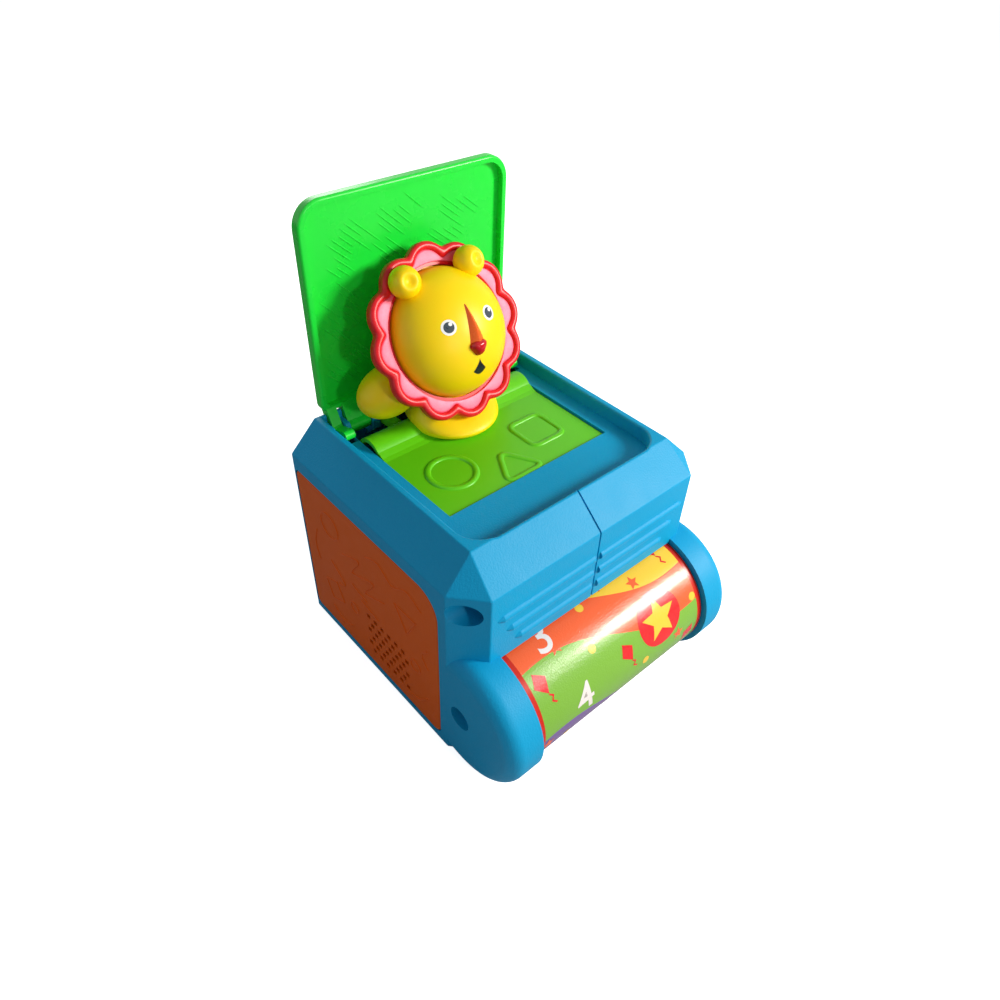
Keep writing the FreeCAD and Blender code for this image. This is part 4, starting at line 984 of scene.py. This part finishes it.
class TOY_OT_roller(bpy.types.Operator):
    """Finish of the roller, its ends, axle and gear"""
    bl_idname = "toy.roller"
    bl_label = "Roller"

    def execute(self, context):
        shade = colours()
        # Where each band starts, as a share of the way round
        bands = [(0.0, shade.print_green), (0.11, shade.print_orange),
                 (0.2, shade.print_yellow), (0.29, shade.print_purple),
                 (0.45, shade.print_green), (0.625, shade.print_orange),
                 (0.72, shade.print_yellow), (0.79, shade.print_purple),
                 (0.92, shade.print_green)]
        dress("roller_sleeve", printed_bands("Printed film sleeve", bands))
        ring = glossy_pp("Roller end, red polypropylene", shade.ring, 0.18, 0.28)
        dress("roller_ring_left", ring)
        dress("roller_ring_right", ring)
        dress("roller_drum", glossy_pp("Drum, white polypropylene", linear("#E6E4DE")))
        nylon = natural_nylon("Natural nylon", linear("#E4DFCF"))
        for node in ("roller_bushes", "roller_pinion", "cam_gear", "trip_rod",
                     "latch_lever", "axle_caps"):
            dress(node, nylon)
        return {"FINISHED"}


class TOY_OT_inner_parts(bpy.types.Operator):
    """Finish of springs, pins, screws, cells, board and sounder"""
    bl_idname = "toy.inner_parts"
    bl_label = "Inner parts"

    def execute(self, context):
        bright = turned_metal("Turned steel, nickel-plated", linear("#C9CBCE"))
        for node in ("hinge_pin", "latch_pin", "roller_axle", "cam_gear_shaft"):
            dress(node, bright)
        wire = turned_metal("Spring wire, drawn", linear("#A9ABAE"), 0.3)
        for node in ("lid_spring", "figure_spring"):
            dress(node, wire)
        zinc = turned_metal("Screw, zinc-plated", linear("#B9B6AA"))
        for node in ("housing_screws", "battery_door_screw", "battery_contacts"):
            dress(node, zinc)
        dress("battery_cells", glossy_pp("Cell sleeve, printed shrink film",
                                         linear("#3C4A58"), 0.2, 0.3))
        dress("circuit_board", fine_textured("Circuit board, solder mask",
                                             linear("#1D6B3A")))
        dress("speaker", fine_textured("Speaker cone, pressed paper", linear("#2B2825")))
        dress("speaker_magnet", turned_metal("Magnet, sintered ferrite", linear("#5B5B5E")))
        return {"FINISHED"}


# Camera, light and floor

CAMERA_PLACE_MM = (-173.44, -188.44, 295.13)
CAMERA_TURN = {"azimuth": -42.81, "elevation": 41.18, "roll": 2.45}
LENS_MM = 28.05
FLOOR_HALF = 6.0
FLOOR_DROP = 0.0002


def lamp(name, place, aim, size, power, shade):
    """A round lamp aimed at a point, in metres and watts."""
    light = bpy.data.lights.new(name, "AREA")
    light.shape = "DISK"
    light.size = size
    light.energy = power
    light.color = linear(shade)[:3]
    thing = bpy.data.objects.new(name, light)
    thing.location = place
    way = Vector(aim) - Vector(place)
    thing.rotation_euler = way.to_track_quat("-Z", "Y").to_euler()
    bpy.context.scene.collection.objects.link(thing)


class TOY_OT_stage(bpy.types.Operator):
    """Camera, studio light and a pale floor"""
    bl_idname = "toy.stage"
    bl_label = "Stage"

    def execute(self, context):
        scene = context.scene
        azimuth, elevation, roll = (math.radians(v) for v in CAMERA_TURN.values())
        back = Vector((math.sin(azimuth) * math.cos(elevation),
                       -math.cos(azimuth) * math.cos(elevation), math.sin(elevation)))
        level = (-back).cross(Vector((0, 0, 1))).normalized()
        above = level.cross(-back)
        right = level * math.cos(roll) + above * math.sin(roll)
        up = above * math.cos(roll) - level * math.sin(roll)
        lens = bpy.data.cameras.new("camera")
        lens.sensor_width = 36
        lens.lens = LENS_MM
        lens.clip_start = 0.01
        camera = bpy.data.objects.new("camera", lens)
        facing = Matrix((right, up, back)).transposed().to_4x4()
        camera.matrix_world = Matrix.Translation(Vector(CAMERA_PLACE_MM) / 1000) @ facing
        scene.collection.objects.link(camera)
        scene.camera = camera
        scene.view_settings.view_transform = "Standard"

        lamp("key", (0.42, -0.50, 0.42), (0.0, 0.0, 0.09), 0.20, 6.0, "#FFF9F0")
        lamp("window", (-0.02, -0.66, 0.30), (0.0, -0.05, 0.05), 0.07, 0.8, "#FFFFFF")
        lamp("side", (-0.60, 0.05, 0.35), (0.0, 0.0, 0.08), 0.5, 0.35, "#EAF2FF")
        lamp("rear", (0.20, 0.75, 0.45), (0.0, 0.05, 0.08), 0.4, 2.2, "#FFFFFF")

        # Seen directly, mirrored or through, the surroundings are white; their light is soft
        world = bpy.data.worlds.new("studio")
        scene.world = world
        world.use_nodes = True
        tree = world.node_tree
        tree.nodes.clear()
        path = add(tree, "ShaderNodeLightPath")
        seen = add(tree, "ShaderNodeMath", links={0: path.outputs["Is Camera Ray"],
                                                  1: path.outputs["Is Glossy Ray"]},
                   operation="MAXIMUM")
        through = add(tree, "ShaderNodeMath", links={0: seen.outputs[0],
                                                     1: path.outputs["Is Transmission Ray"]},
                      operation="MAXIMUM")
        soft = add(tree, "ShaderNodeBackground", {"Color": (0.9, 0.95, 1, 1),
                                                  "Strength": 0.24})
        white = add(tree, "ShaderNodeBackground", {"Color": (1, 1, 1, 1), "Strength": 1.0})
        both = add(tree, "ShaderNodeMixShader", links={0: through.outputs[0],
                                                       1: soft.outputs[0],
                                                       2: white.outputs[0]})
        add(tree, "ShaderNodeOutputWorld", links={"Surface": both.outputs[0]})

        mesh = bpy.data.meshes.new("floor")
        half = FLOOR_HALF
        mesh.from_pydata([(-half, -half, 0), (half, -half, 0), (half, half, 0),
                          (-half, half, 0)], [], [(0, 1, 2, 3)])
        floor = bpy.data.objects.new("floor", mesh)
        floor.location.z = -FLOOR_DROP
        scene.collection.objects.link(floor)
        # Pale to the camera, so that only the shadow shows, and dull to everything else
        material = bpy.data.materials.new("Floor, matte paper")
        material.use_nodes = True
        tree = material.node_tree
        tree.nodes.clear()
        path = add(tree, "ShaderNodeLightPath")
        dull = add(tree, "ShaderNodeBsdfDiffuse", {"Color": (0.45, 0.45, 0.45, 1)})
        matte = add(tree, "ShaderNodeBsdfDiffuse", {"Color": (0.9, 0.9, 0.9, 1)})
        glow = add(tree, "ShaderNodeEmission", {"Strength": 0.82})
        bright = add(tree, "ShaderNodeAddShader", links={0: matte.outputs[0],
                                                         1: glow.outputs[0]})
        lit = add(tree, "ShaderNodeMixShader", links={0: path.outputs["Is Camera Ray"],
                                                      1: dull.outputs[0],
                                                      2: bright.outputs[0]})
        add(tree, "ShaderNodeOutputMaterial", links={"Surface": lit.outputs[0]})
        mesh.materials.append(material)
        return {"FINISHED"}


STEPS = (TOY_OT_housing, TOY_OT_roller, TOY_OT_inner_parts, TOY_OT_head, TOY_OT_mane,
         TOY_OT_muzzle, TOY_OT_torso, TOY_OT_lid_hatching, TOY_OT_flap_outlines,
         TOY_OT_panel_relief, TOY_OT_roller_print, TOY_OT_stage)


class TOY_PT_panel(bpy.types.Panel):
    """Colours, sizes and steps of the toy"""
    bl_idname = "TOY_PT_panel"
    bl_label = "Pop-up Animal Toy"
    bl_space_type = "VIEW_3D"
    bl_region_type = "UI"
    bl_category = "Toy"

    def draw(self, context):
        for group in (context.scene.toy_colours, context.scene.toy_sizes):
            box = self.layout.box()
            for name in group.bl_rna.properties.keys():
                if name not in ("rna_type", "name"):
                    box.prop(group, name)
        for step in STEPS:
            self.layout.operator(step.bl_idname)


CLASSES = (ToyColours, ToySizes, *STEPS, TOY_PT_panel)


def register():
    for item in CLASSES:
        bpy.utils.register_class(item)
    bpy.types.Scene.toy_colours = bpy.props.PointerProperty(type=ToyColours)
    bpy.types.Scene.toy_sizes = bpy.props.PointerProperty(type=ToySizes)


def unregister():
    del bpy.types.Scene.toy_sizes
    del bpy.types.Scene.toy_colours
    for item in reversed(CLASSES):
        bpy.utils.unregister_class(item)


def main():
    register()
    for step in STEPS:
        group, name = step.bl_idname.split(".")
        getattr(getattr(bpy.ops, group), name)()


if __name__ == "__main__":
    main()
